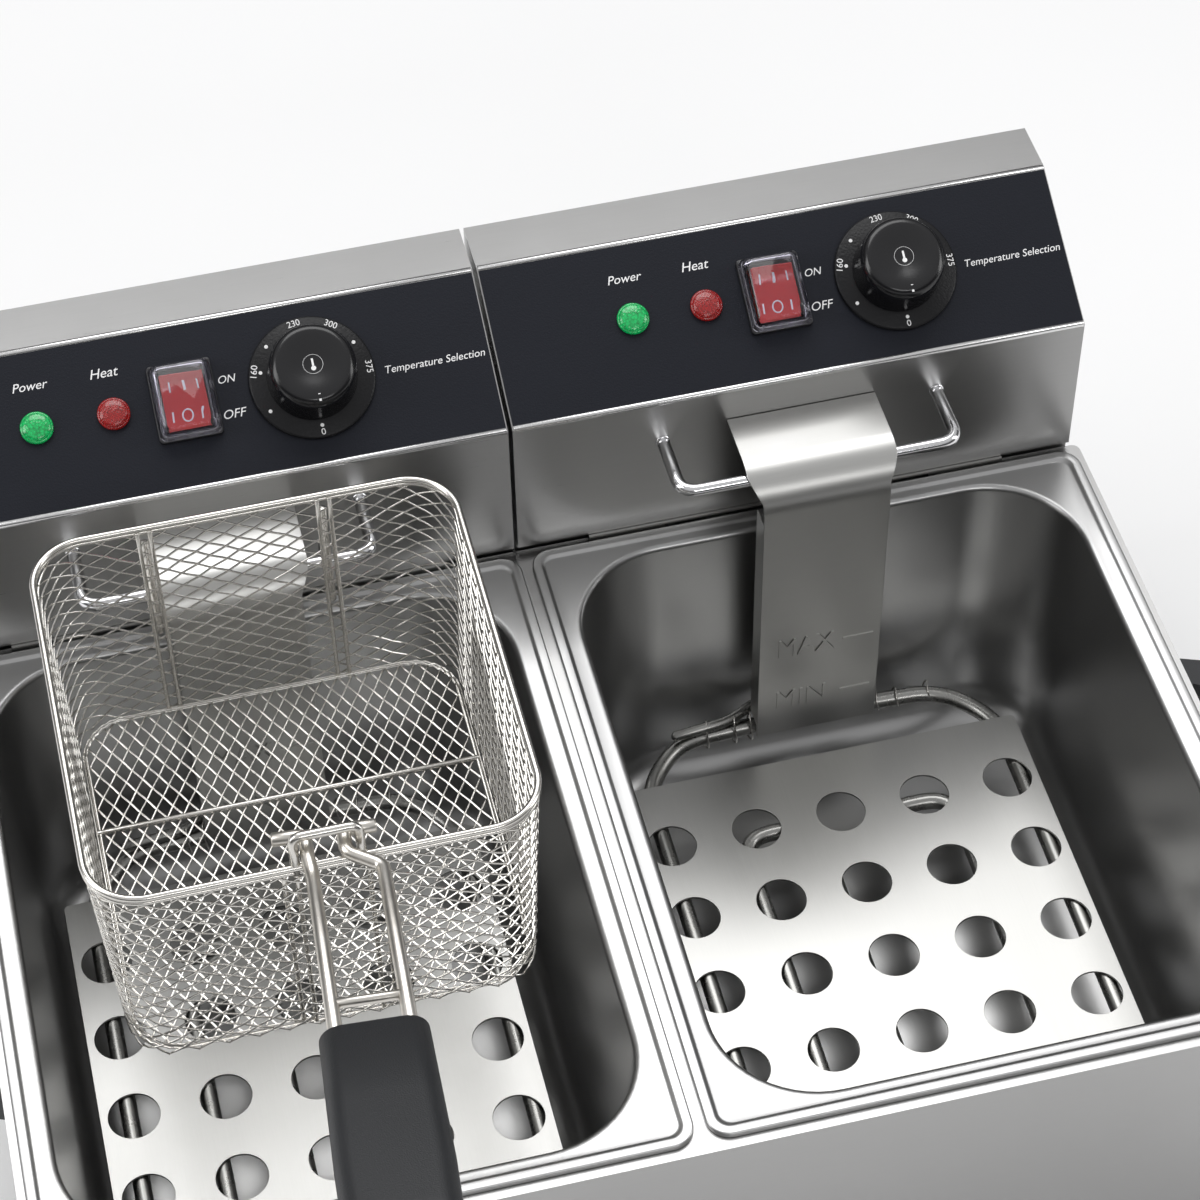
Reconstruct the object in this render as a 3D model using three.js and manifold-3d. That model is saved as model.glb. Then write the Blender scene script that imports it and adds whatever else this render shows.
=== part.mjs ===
// Countertop twin-tank electric deep fryer: two drop-in pans in one casing, two lift-off
// control heads, perforated element covers and one basket hung on the left head to drain.
// Millimetres, +Z up, front towards -Y. Y = 0 is the plane of the heads' front faces.
import * as THREE from "three";
import { mergeVertices } from "three/addons/utils/BufferGeometryUtils.js";
import Module from "manifold-3d";

const wasm = await Module();
wasm.setup();

// ---- Driving dimensions ----
const seatGap = 0.3; // left between pieces that touch
const steel = 1.2; // sheet of pans, heads, covers and level plates
const casingSteel = 1.5;
const casingCorner = 4;

const panWidth = 265; // half-size gastronorm flange, side to side
const panDepth = 325; // front to back
const wellDepth = 150;
const flangeCorner = 10;
const beadWidth = 6; // raised rim round the flange
const beadHeight = 1.2;
const lipSide = 12.5; // flange edge to well opening, sides
const lipEnd = 10; // and ends
const wellCorner = 46; // plan radius of the well opening
const wellDraft = 9; // each wall leans in by this over its height
const floorFillet = 20;

const panGap = 5; // between the two flanges
const sideMargin = 3.5; // flange to casing side
const frontMargin = 4.6;
const rearMargin = 4.4;
const faceOverRear = 2; // casing's back stands this far behind the heads' faces
const underWell = 8.5; // room under the wells
const footHeight = 22;
const footRadius = 18;
const footInset = 38;
const openingClearance = 3; // round a well where it drops through the casing

const gripLength = 100; // side handles
const gripStandoff = 30;
const gripThick = 12;
const gripTall = 28;
const gripDrop = 24; // flange down to the handle's top

const headGap = 2;
const headOverPan = 2; // a head is this much wider than a pan
const headSetLeft = 2.5; // both heads sit this far left of the casing's middle
const faceLift = 3; // head's face starts above the flange
const faceHeight = 77;
const slopeDepth = 68;
const slopeRise = 37.5;
const topDepth = 27;
const dropBehind = 62; // head reaches this far below the flange, behind the casing
const behindGap = 1.3; // casing's back to the head's lower front

const hookTabWidth = 36;
const hookTabDrop = 12;
const hookSpan = 200;
const slotClearance = 0.5;

const hangerSpan = 129.1; // between rod centres
const hangerRod = 3; // radius
const hangerBend = 9;
const hangerUnder = 2.5; // rod to the level plate's top sheet
const hangerInBend = 0.77; // rod to the inside of the plate's bend

const plateTopWidth = 69.7; // level plate
const plateTaper = 5.35; // drawn in on each side below the bend
const plateTopZ = 62.2; // above the flange
const plateReach = 46;
const plateBend = 20;
const plateEar = 12;

const elementRadius = 4;
const elementRiser = 14; // half the distance between the risers
const elementSetBack = 12; // riser centre behind the plate's front
const elementUnderHanger = 0.6; // tube to the hanger rod above it
const elementInner = 16; // half-width at the inner runs
const elementSideGap = 10; // outer runs to the cover's edges
const elementFrontGap = 5;
const elementRearGap = 36.4;
const elementBend = 15;
const tubeInHead = 14; // tube ends behind the head's face
const bulbRadius = 2.6;
const bulbOver = 1; // capillary above the element's runs
const bulbBehind = 8; // and behind its risers
const bulbBend = 8;

const coverSideGap = 22; // perforated cover's edges to the well's opening
const coverFrontGap = 27.4;
const coverBehind = 17.6; // rear edge to the level plate
const coverAboveFloor = 37;
const coverSkirt = 10; // folded down past the element it rests on
const coverSkirtInset = 3; // skirts stop short of the cover's ends
const coverShift = -3.1; // centre off the head's centre
const coverHole = 11.7; // radius
const coverRows = 5;
const coverColumns = 5;
const coverSideMargin = 15.2; // outer hole centres to the cover's edges
const coverFrontMargin = 19.4;
const coverRearMargin = 36.2;

const panelFilm = 0.5;
const lampX = -69.5; // positions on the slope, from the head's middle
const heatLampX = -35.5;
const switchX = -3.9;
const dialX = 53.1;
const controlsAboveMiddle = 1.67; // up the slope
const lampRadius = 7.3;
const lampStem = 4.2;
const switchWidth = 28.7;
const switchTall = 35.8;
const bezelThick = 2.2;
const bezelRim = 2.1; // bezel outside the body
const switchWall = 1.75; // round the rocker's pocket, sides
const switchEndWall = 2.2; // and ends
const pocketClearance = 0.9; // rocker to pocket, sides
const pocketEndClearance = 1.4; // and ends
const rockerTilt = 10; // degrees either side of flat
const switchDeep = 24;
const pocketDeep = 9.5;
const coverShellHigh = 8.5;
const coverShellWall = 0.8;
const dialRadius = 28.2;
const dialThick = 2.2;
const knobRadius = 20.15;
const knobHigh = 20;
const shaftRadius = 3;
const boreClearance = 0.4;
const thermostatRadius = 18;
const thermostatLong = 28;

const terminalLong = 60;
const terminalDeep = 25;
const terminalTall = 20;
const terminalX = -65; // block's middle from the head's middle
const terminalY = 42.5;
const cutoutSide = 22; // overheat cut-out's body
const cutoutTall = 26;
const cutoutLong = 26.2;
const cutoutBehind = 5; // its back to the rear cover

const resetX = 60;
const resetZ = -2; // above the flange
const resetRadius = 4;
const glandX = -70;
const glandZ = -42;
const glandStem = 9;
const glandBore = 4.5;

const basketInset = 6; // rim's sides inside the perforated cover's sides
const basketShort = 46; // rim's front behind the cover's front
const basketBehind = 3.5; // rim to the level plate
const basketHang = 61.5; // rim above the hanger rod
const basketDeep = 112;
const basketDraft = 4.5;
const basketCorner = 25;
const basketFillet = 12;
const basketWall = 2.4;
const rimWire = 2.4; // radius
const basketShift = 7; // centre off the left head's centre
const hookWire = 1.75; // radius
const hookBeside = 3.15; // hook's middle to the level plate's side
const hookClear = 1.4; // hook to hanger rod, front and back
const hookOver = 0.6; // and above
const hookWeld = 12; // hook's lower end under the rim
const hookDown = 11; // hook's tail behind the rod
const stapleWire = 2;
const stapleHalf = 13;
const stapleHigh = 14.6;
const stapleLean = 4;
const stapleShift = 2.9; // off the basket's centre
const rodWire = 2.8;
const barWire = 2;
const rodRise = 15; // degrees, handle rods above level
const rodLength = 118;
const barAlong = 76; // cross-bar, from the bend
const rodHalfInner = 7.4; // half the distance between the rods at the staple
const rodHalf = 13.6; // and in front of it
const rodSideStep = 7; // the rods stand this far right of their hooked ends
const rodYaw = -4; // degrees, the handle's play in its staple
const footRodReach = 13; // hooked ends, outside the rods
const pivotBehind = 5; // hooked ends behind the staple's top
const pivotAbove = 7.5; // and above the rim's middle
const handleGripLong = 118;
const handleGripWide = 40;
const handleGripThick = 19;
const gripCorner = 7;
const rodInGrip = 22;
const boreRound = 0.6; // rod to its bore in the grip

// ---- Derived places ----
const footTop = footHeight - seatGap;
const casingTop = footHeight + wellDepth + underWell;
const flangeZ = casingTop + seatGap + steel; // flat top of the pan flange
const casingWidth = 2 * panWidth + panGap + 2 * sideMargin;
const casingDepth = frontMargin + panDepth + rearMargin;
const casingFrontY = faceOverRear - casingDepth;
const panRearY = faceOverRear - rearMargin;
const panMidY = panRearY - panDepth / 2;
const panX = (panWidth + panGap) / 2;
const headWidth = panWidth + headOverPan;
const headX = (headWidth + headGap) / 2;
const slopeAngle = Math.atan2(slopeRise, slopeDepth);
const slopeLength = Math.hypot(slopeDepth, slopeRise);
const faceBottomZ = flangeZ + faceLift;
const faceTopZ = faceBottomZ + faceHeight;
const headTopZ = faceTopZ + slopeRise;
const headRearY = slopeDepth + topDepth;
const headBottomZ = flangeZ - dropBehind;
const lowerFrontY = faceOverRear + behindGap;
const casingMidY = casingFrontY + casingDepth / 2;
const tabRearY = faceOverRear - casingSteel - seatGap - slotClearance;
const controlsUp = slopeLength / 2 + controlsAboveMiddle;

const wellWidth = panWidth - 2 * lipSide;
const wellLong = panDepth - 2 * lipEnd;
const wellFrontY = panMidY - wellLong / 2;
const coverWidth = wellWidth - 2 * coverSideGap;
const coverRear = plateReach + coverBehind; // distances in front of the heads' faces
const coverFront = -wellFrontY - coverFrontGap;
const coverDepth = wellDepth - coverAboveFloor; // below the flange
const coverPitchX = (coverWidth - 2 * coverSideMargin) / (coverColumns - 1);
const coverFirstRow = coverRear + coverRearMargin;
const coverPitchY = (coverFront - coverFrontMargin - coverFirstRow) / (coverRows - 1);

const plateWidth = plateTopWidth - 2 * plateTaper;
const plateBottom = coverDepth; // its foot is level with the cover
const hangerZ = plateTopZ - steel - hangerUnder - hangerRod; // above the flange
const bendRoom = plateBend - steel - hangerRod; // plate's bend centre to a rod touching it
const hangerInBendY = Math.sqrt((bendRoom - hangerInBend) ** 2 - (bendRoom - hangerUnder) ** 2);
const hangerReach = plateReach - plateBend + hangerInBendY;

const elementDepth = coverDepth + steel + seatGap + elementRadius; // the cover rests on it
const elementOuter = coverWidth / 2 - elementSideGap;
const elementMiddle = (elementOuter + elementInner) / 2;
const elementFront = coverFront - elementFrontGap;
const elementRear = coverRear + elementRearGap;
const riserY = elementSetBack - plateReach;
const tubeZ = hangerZ - hangerRod - elementUnderHanger - elementRadius;

const basketWidth = coverWidth - 2 * basketInset; // rim, outside
const basketRear = plateReach + basketBehind;
const basketFront = coverFront - basketShort;
const basketRimZ = hangerZ + basketHang; // above the flange, hung to drain
const hookOffset = plateTopWidth / 2 + hookBeside; // each hook from the head's middle
const panelBack = seatGap;
const panelFront = panelBack + panelFilm;
const onPanel = panelFront + seatGap; // seat of the controls, along the slope's normal
const insideSlope = -steel - seatGap;

const cornerSteps = 5;
const rodSides = 8;

// ---- Materials ----
const metal = (color, roughness) => new THREE.MeshStandardMaterial({ color, roughness, metalness: 1 });
const plain = (color, roughness) => new THREE.MeshStandardMaterial({ color, roughness, metalness: 0 });
const material = {
  steel: metal(0xb8b8b6, 0.35),
  brushed: metal(0x8f8d8b, 0.45),
  chrome: metal(0xe6e6e6, 0.1),
  wire: metal(0xcfccc6, 0.3),
  element: metal(0x9a958c, 0.4),
  panel: plain(0x14161c, 0.55),
  black: plain(0x0b0b0d, 0.25),
  rubber: plain(0x1a1a1a, 0.8),
  inner: plain(0xd8d2c4, 0.6),
  red: plain(0xc8281e, 0.3),
  green: plain(0x1fae4a, 0.3),
  clear: plain(0xf2f4f4, 0.1),
};
material.clear.transparent = true;
material.clear.opacity = 0.35;

// ---- Geometry helpers ----

// A geometry as a solid that can be cut and joined.
function solidOf(geometry) {
  const source = geometry.index ? geometry.toNonIndexed() : geometry.clone();
  source.deleteAttribute("normal");
  source.deleteAttribute("uv");
  const merged = mergeVertices(source, 1e-4);
  const mesh = new wasm.Mesh({
    numProp: 3,
    vertProperties: new Float32Array(merged.attributes.position.array),
    triVerts: new Uint32Array(merged.index.array),
  });
  return new wasm.Manifold(mesh);
}

// A solid back as a geometry.
function geometryOf(solid) {
  const mesh = solid.getMesh();
  const geometry = new THREE.BufferGeometry();
  geometry.setAttribute("position", new THREE.BufferAttribute(new Float32Array(mesh.vertProperties), 3));
  geometry.setIndex(new THREE.BufferAttribute(new Uint32Array(mesh.triVerts), 1));
  geometry.computeVertexNormals();
  return geometry;
}

function cut(base, ...tools) {
  return geometryOf(tools.reduce((left, tool) => left.subtract(solidOf(tool)), solidOf(base)));
}

function join(base, ...others) {
  return geometryOf(others.reduce((sum, other) => sum.add(solidOf(other)), solidOf(base)));
}

// A box given by its lowest and highest corners.
function box(low, high) {
  const size = high.map((value, i) => value - low[i]);
  const middle = high.map((value, i) => (value + low[i]) / 2);
  return new THREE.BoxGeometry(...size).translate(...middle);
}

function roundedRect(width, depth, radius, steps = cornerSteps) {
  const points = [];
  for (let corner = 0; corner < 4; corner++) {
    const sideX = corner === 0 || corner === 3 ? 1 : -1;
    const sideY = corner < 2 ? 1 : -1;
    for (let i = 0; i <= steps; i++) {
      const angle = ((corner + i / steps) * Math.PI) / 2;
      const x = sideX * (width / 2 - radius) + radius * Math.cos(angle);
      const y = sideY * (depth / 2 - radius) + radius * Math.sin(angle);
      points.push(new THREE.Vector2(x, y));
    }
  }
  return points;
}

// A flat outline raised from z = low to z = high, with optional holes.
function slab(outline, low, high, holes = []) {
  const shape = new THREE.Shape(outline);
  shape.holes = holes.map((hole) => new THREE.Path(hole));
  return new THREE.ExtrudeGeometry(shape, { depth: high - low, bevelEnabled: false }).translate(0, 0, low);
}

function circle(radius, steps, x = 0, y = 0) {
  return Array.from({ length: steps }, (_, i) => {
    const angle = ((i + 0.5) * 2 * Math.PI) / steps;
    return new THREE.Vector2(x + radius * Math.cos(angle), y + radius * Math.sin(angle));
  });
}

// A profile in the Y-Z plane, [y, z] points counter-clockwise seen from +X, run along X.
function alongX(profile, width) {
  const shape = new THREE.Shape(profile.map(([y, z]) => new THREE.Vector2(y, z)));
  const geometry = new THREE.ExtrudeGeometry(shape, { depth: width, bevelEnabled: false });
  const turn = new THREE.Matrix4().set(0, 0, 1, -width / 2, 1, 0, 0, 0, 0, 1, 0, 0, 0, 0, 0, 1);
  return geometry.applyMatrix4(turn);
}

// The same polygon moved in by a constant distance (counter-clockwise points).
function insetProfile(profile, distance) {
  const count = profile.length;
  const edges = profile.map(([y, z], i) => {
    const [nextY, nextZ] = profile[(i + 1) % count];
    const length = Math.hypot(nextY - y, nextZ - z);
    const normal = [-(nextZ - z) / length, (nextY - y) / length];
    return { normal, offset: normal[0] * y + normal[1] * z + distance };
  });
  return profile.map((_, i) => {
    const a = edges[(i + count - 1) % count];
    const b = edges[i];
    const det = a.normal[0] * b.normal[1] - a.normal[1] * b.normal[0];
    const y = (a.offset * b.normal[1] - b.offset * a.normal[1]) / det;
    const z = (b.offset * a.normal[0] - a.offset * b.normal[0]) / det;
    return [y, z];
  });
}

// Joins rings of equal length, each counter-clockwise seen from above, into a closed skin.
// With caps, the first ring faces down or back and the last one closes the other end.
function skin(rings, wrap = false) {
  const count = rings[0].length;
  const positions = rings.flat().flatMap((point) => [point.x, point.y, point.z]);
  const index = [];
  const joints = wrap ? rings.length : rings.length - 1;
  for (let k = 0; k < joints; k++) {
    const low = k * count;
    const high = ((k + 1) % rings.length) * count;
    for (let i = 0; i < count; i++) {
      const next = (i + 1) % count;
      index.push(low + i, low + next, high + next, low + i, high + next, high + i);
    }
  }
  const last = (rings.length - 1) * count;
  for (let i = 1; !wrap && i < count - 1; i++) {
    index.push(0, i + 1, i);
    index.push(last, last + i, last + i + 1);
  }
  const geometry = new THREE.BufferGeometry();
  geometry.setAttribute("position", new THREE.Float32BufferAttribute(positions, 3));
  geometry.setIndex(index);
  geometry.computeVertexNormals();
  return geometry;
}

function ring(width, depth, radius, z) {
  return roundedRect(width, depth, radius).map((point) => new THREE.Vector3(point.x, point.y, z));
}

// Corner points with rounded bends.
function roundedPath(corners, bend, steps = 4) {
  const path = new THREE.CurvePath();
  let from = corners[0];
  for (let i = 1; i < corners.length - 1; i++) {
    const into = corners[i].clone().sub(corners[i - 1]);
    const out = corners[i + 1].clone().sub(corners[i]);
    const reach = Math.min(bend, into.length() * 0.49, out.length() * 0.49);
    const start = corners[i].clone().addScaledVector(into.normalize(), -reach);
    const end = corners[i].clone().addScaledVector(out.normalize(), reach);
    path.add(new THREE.LineCurve3(from, start));
    path.add(new THREE.QuadraticBezierCurve3(start, corners[i], end));
    from = end;
  }
  path.add(new THREE.LineCurve3(from, corners.at(-1)));
  return path.getPoints(steps);
}

// A round rod through the points, its section carried along without twist.
function rod(points, radius, sides = rodSides) {
  const tangents = points.map((point, i) => {
    const before = points[Math.max(i - 1, 0)];
    const after = points[Math.min(i + 1, points.length - 1)];
    return after.clone().sub(before).normalize();
  });
  const side = new THREE.Vector3(0.31, 0.17, 0.93).cross(tangents[0]).normalize();
  const rings = points.map((point, i) => {
    const along = tangents[i];
    side.addScaledVector(along, -side.dot(along)).normalize();
    const other = along.clone().cross(side);
    return Array.from({ length: sides }, (_, k) => {
      const angle = (k * 2 * Math.PI) / sides;
      return point
        .clone()
        .addScaledVector(side, radius * Math.cos(angle))
        .addScaledVector(other, radius * Math.sin(angle));
    });
  });
  return skin(rings);
}

const at = (x, y, z) => new THREE.Vector3(x, y, z);

// A turned piece about Z from [radius, z] points.
function turned(profile, segments = 24) {
  const points = profile.map(([radius, z]) => new THREE.Vector2(radius, z));
  return new THREE.LatheGeometry(points, segments).rotateX(Math.PI / 2);
}

function addPart(group, name, geometry, look, x = 0, y = 0, z = 0) {
  const mesh = new THREE.Mesh(geometry, look);
  mesh.name = name;
  mesh.position.set(x, y, z);
  group.add(mesh);
  return mesh;
}

const fryer = new THREE.Group();

// ---- Casing, base and feet ----

function wellRing(inset, radius, z) {
  return ring(wellWidth - 2 * inset, wellLong - 2 * inset, radius, z);
}

function makeCasing() {
  const outer = slab(roundedRect(casingWidth, casingDepth, casingCorner), footHeight, casingTop);
  const innerWidth = casingWidth - 2 * casingSteel;
  const innerDepth = casingDepth - 2 * casingSteel;
  const innerOutline = roundedRect(innerWidth, innerDepth, casingCorner - casingSteel);
  const inner = slab(innerOutline, footHeight - 1, casingTop - casingSteel);
  const clearance = 2 * openingClearance;
  const opening = roundedRect(wellWidth + clearance, wellLong + clearance, wellCorner);
  const openings = [-1, 1].map((side) =>
    slab(opening, casingTop - 2 * casingSteel, casingTop + 1).translate(side * panX, panMidY - casingMidY, 0),
  );
  const slots = [];
  for (const side of [-1, 1]) {
    for (const end of [-1, 1]) {
      const x = side * headX - headSetLeft + (end * (hookSpan - hookTabWidth)) / 2;
      const half = hookTabWidth / 2 + slotClearance;
      const low = [x - half, tabRearY - steel - slotClearance - casingMidY, casingTop - 2 * casingSteel];
      const high = [x + half, tabRearY + slotClearance - casingMidY, casingTop + 1];
      slots.push(box(low, high));
    }
  }
  return cut(outer, inner, ...openings, ...slots).translate(0, casingMidY, 0);
}

addPart(fryer, "body_casing", makeCasing(), material.steel);

function makeBasePlate() {
  const width = casingWidth - 2 * (casingSteel + seatGap);
  const depth = casingDepth - 2 * (casingSteel + seatGap);
  const vents = [];
  const ventRows = 4;
  const ventPitch = 22;
  const ventTall = 6;
  for (const side of [-1, 1]) {
    for (let row = 0; row < ventRows; row++) {
      const y = (row - (ventRows - 1) / 2) * ventPitch;
      const outline = roundedRect(width / 4, ventTall, ventTall / 2 - 0.1, 1);
      vents.push(outline.map((point) => new THREE.Vector2(point.x + side * panX, point.y + y)));
    }
  }
  return slab(roundedRect(width, depth, casingCorner - casingSteel), 0, casingSteel, vents);
}

addPart(fryer, "base_plate", makeBasePlate(), material.brushed, 0, casingMidY, footHeight);

const footScrewHole = 5;
const footScrewDeep = 7;
const footProfile = [
  [0, footScrewDeep],
  [footScrewHole, footScrewDeep],
  [footScrewHole, 0],
  [footRadius - 3, 0],
  [footRadius - 1.5, 1.5],
  [footRadius, footTop],
  [0, footTop],
];
for (const [sideName, side] of [["left", -1], ["right", 1]]) {
  for (const [endName, y] of [["front", casingFrontY + footInset], ["rear", faceOverRear - footInset]]) {
    const x = side * (casingWidth / 2 - footInset);
    addPart(fryer, `foot_${endName}_${sideName}`, turned(footProfile, 20), material.rubber, x, y, 0);
  }
}

// ---- Side handles: a bowed bar on two legs ----

function makeSideHandle() {
  const slant = 8; // legs lean in by this
  const leg = 13;
  const outerBend = 9;
  const innerBend = 5;
  const half = gripLength / 2;
  const inside = gripStandoff - gripThick;
  const outerEnd = half - slant;
  const innerEnd = outerEnd - leg;
  const shape = new THREE.Shape();
  shape.moveTo(0, -half);
  shape.lineTo(gripStandoff - outerBend, -outerEnd);
  shape.quadraticCurveTo(gripStandoff, -outerEnd, gripStandoff, -outerEnd + outerBend);
  shape.lineTo(gripStandoff, outerEnd - outerBend);
  shape.quadraticCurveTo(gripStandoff, outerEnd, gripStandoff - outerBend, outerEnd);
  shape.lineTo(0, half);
  shape.lineTo(0, half - leg);
  shape.lineTo(inside - innerBend, innerEnd);
  shape.quadraticCurveTo(inside, innerEnd, inside, innerEnd - innerBend);
  shape.lineTo(inside, -innerEnd + innerBend);
  shape.quadraticCurveTo(inside, -innerEnd, inside - innerBend, -innerEnd);
  shape.lineTo(0, -half + leg);
  return new THREE.ExtrudeGeometry(shape, { depth: gripTall, bevelEnabled: false, curveSegments: 4 });
}

const gripZ = flangeZ - gripDrop - gripTall;
const handleRight = addPart(fryer, "side_handle_right", makeSideHandle(), material.black);
handleRight.position.set(casingWidth / 2 + seatGap, casingMidY, gripZ);
const handleLeft = addPart(fryer, "side_handle_left", makeSideHandle(), material.black);
handleLeft.position.set(-casingWidth / 2 - seatGap, casingMidY, gripZ);
handleLeft.rotation.z = Math.PI;

// ---- Pans ----

function makePan() {
  const filletSteps = 4;
  const throat = 2; // the opening's edge rolls in by this
  const throatDrop = 3;
  const edgeRound = 0.8;
  const beadInner = beadWidth - beadHeight;
  const flangeRing = (inset, z) => ring(panWidth - 2 * inset, panDepth - 2 * inset, flangeCorner - inset, z);
  // The floor's fillet, from the floor out to the wall, at a distance outside the inner surface.
  const fillet = (outside) =>
    Array.from({ length: filletSteps + 1 }, (_, i) => {
      const angle = (i / filletSteps) * (Math.PI / 2);
      const inset = wellDraft + floorFillet * (1 - Math.sin(angle)) - outside;
      const z = -wellDepth + floorFillet * (1 - Math.cos(angle)) - outside * Math.cos(angle);
      return wellRing(inset, wellCorner - inset, z);
    });
  // Under side, from the floor up and out to the flange's edge, then back over the bead and down.
  return skin([
    ...fillet(steel),
    wellRing(throat - steel, wellCorner - throat + steel, -throatDrop - steel),
    wellRing(-steel, wellCorner + steel, -steel),
    flangeRing(0, -steel),
    flangeRing(0, beadHeight - edgeRound),
    flangeRing(edgeRound, beadHeight),
    flangeRing(beadInner, beadHeight),
    ring(panWidth - 2 * beadWidth, panDepth - 2 * beadWidth, flangeCorner - beadInner, 0),
    wellRing(-throat * 0.3, wellCorner + throat * 0.3, 0),
    wellRing(throat * 0.6, wellCorner - throat * 0.6, -edgeRound),
    wellRing(throat, wellCorner - throat, -throatDrop),
    ...fillet(0).reverse(),
  ]);
}

addPart(fryer, "pan_left", makePan(), material.steel, -panX, panMidY, flangeZ);
addPart(fryer, "pan_right", makePan(), material.steel, panX, panMidY, flangeZ);

// ---- Control heads ----

// Outline of a head seen from its right end, counter-clockwise.
const headProfile = [
  [0, faceBottomZ],
  [lowerFrontY, faceBottomZ],
  [lowerFrontY, headBottomZ],
  [headRearY, headBottomZ],
  [headRearY, headTopZ],
  [slopeDepth, headTopZ],
  [0, faceTopZ],
];

const slopeMatrix = new THREE.Matrix4().makeRotationX(slopeAngle).setPosition(0, 0, faceTopZ);
const onSlope = (geometry) => geometry.clone().applyMatrix4(slopeMatrix);

const bodyWidth = switchWidth - 2 * bezelRim; // switch body behind the bezel
const bodyTall = switchTall - 2 * bezelRim;
const pocketWidth = bodyWidth - 2 * switchWall;
const pocketTall = bodyTall - 2 * switchEndWall;
const rockerWidth = pocketWidth - 2 * pocketClearance;
const rockerHalf = pocketTall / 2 - pocketEndClearance;
const cutoutGap = 0.5;
const shaftHole = shaftRadius + 2;
const rearLip = 8;

function controlHoles(low, high) {
  const hole = (radius, x) => slab(circle(radius, 12), low, high).translate(x, controlsUp, 0);
  const window = roundedRect(bodyWidth + 2 * cutoutGap, bodyTall + 2 * cutoutGap, 1, 1);
  return [
    hole(lampStem + cutoutGap, lampX),
    hole(lampStem + cutoutGap, heatLampX),
    hole(shaftHole, dialX),
    slab(window, low, high).translate(switchX, controlsUp, 0),
  ];
}

function makeHousing() {
  const outer = alongX(headProfile, headWidth);
  const inner = alongX(insetProfile(headProfile, steel), headWidth - 2 * steel);
  const half = headWidth / 2 - rearLip;
  const rearLow = [-half, headRearY - 3 * steel, headBottomZ + rearLip];
  const rearHigh = [half, headRearY + 1, headTopZ - rearLip];
  const passageSide = 4; // room round the element's tubes in the face
  const passageEnd = 2;
  const passage = elementRiser + elementRadius + passageSide;
  const tubeLow = [-passage, -1, flangeZ + tubeZ - elementRadius - passageEnd];
  const tubeHigh = [passage, 2 * steel, flangeZ + tubeZ + elementRadius + passageEnd];
  const slopeHoles = controlHoles(-3 * steel, steel).map(onSlope);
  return cut(outer, inner, box(rearLow, rearHigh), box(tubeLow, tubeHigh), ...slopeHoles);
}

function makePanel() {
  const edge = 0.6;
  const half = headWidth / 2 - edge;
  const film = box([-half, edge, panelBack], [half, slopeLength - edge, panelFront]);
  return cut(film, ...controlHoles(panelBack - 1, panelFront + 1));
}

function makeRearCover() {
  const margin = 2;
  const width = headWidth - 2 * margin;
  const tall = headTopZ - headBottomZ - 2 * margin;
  const middleZ = (headTopZ + headBottomZ) / 2;
  const moved = (outline, x, z) => {
    const offset = new THREE.Vector2(-x, z - middleZ);
    return outline.map((point) => point.clone().add(offset));
  };
  const holes = [
    moved(circle(resetRadius + cutoutGap, 12), resetX, flangeZ + resetZ),
    moved(circle(glandStem + cutoutGap, 16), glandX, flangeZ + glandZ),
  ];
  const ventCount = 5;
  const ventPitch = 9;
  const ventWidth = 60;
  const ventTall = 3.4;
  const ventTopZ = headTopZ - 30;
  for (let i = 0; i < ventCount; i++) {
    holes.push(moved(roundedRect(ventWidth, ventTall, 1.6, 1), 0, ventTopZ - i * ventPitch));
  }
  const plate = slab(roundedRect(width, tall, 2, 1), 0, steel, holes);
  // Stand the plate up with its outer face towards +Y.
  return plate.rotateX(-Math.PI / 2).rotateY(Math.PI);
}

function makeLevelPlate() {
  const centreY = -(plateReach - plateBend);
  const centreZ = plateTopZ - plateBend;
  const outer = [];
  const inner = [];
  const bendSteps = 6;
  for (let i = 0; i <= bendSteps; i++) {
    const angle = Math.PI / 2 + (i / bendSteps) * (Math.PI / 2);
    outer.push([centreY + plateBend * Math.cos(angle), centreZ + plateBend * Math.sin(angle)]);
    const radius = plateBend - steel;
    inner.push([centreY + radius * Math.cos(angle), centreZ + radius * Math.sin(angle)]);
  }
  const profile = [
    [-seatGap, plateTopZ - steel],
    [-seatGap, plateTopZ],
    ...outer,
    [-plateReach, -plateBottom],
    [-plateReach + steel, -plateBottom],
    ...inner.reverse(),
  ];
  const strip = alongX(profile, plateTopWidth);
  // Front silhouette: full width on top, drawn in through the bend.
  const shoulderZ = plateTopZ - steel * 2;
  const neckZ = plateTopZ - plateBend * 0.66;
  const silhouette = [
    new THREE.Vector2(-plateWidth / 2, -plateBottom - 1),
    new THREE.Vector2(plateWidth / 2, -plateBottom - 1),
    new THREE.Vector2(plateWidth / 2, neckZ),
    new THREE.Vector2(plateTopWidth / 2 + 1, shoulderZ),
    new THREE.Vector2(plateTopWidth / 2 + 1, plateTopZ + 1),
    new THREE.Vector2(-plateTopWidth / 2 - 1, plateTopZ + 1),
    new THREE.Vector2(-plateTopWidth / 2 - 1, shoulderZ),
    new THREE.Vector2(-plateWidth / 2, neckZ),
  ];
  const prism = slab(silhouette, 0, plateReach + 2).rotateX(Math.PI / 2);
  const tapered = solidOf(strip).intersect(solidOf(prism));
  const earTop = centreZ - 6; // ears stop short of the bend
  const earBottom = -plateBottom + 7; // and of the foot
  const earFront = -plateReach + steel / 2;
  const ears = [-1, 1].map((side) => {
    const outside = (side * plateWidth) / 2;
    const inside = outside - side * steel;
    const low = [Math.min(outside, inside), earFront, earBottom];
    return box(low, [Math.max(outside, inside), -plateReach + plateEar, earTop]);
  });
  return join(geometryOf(tapered), ...ears);
}

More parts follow.
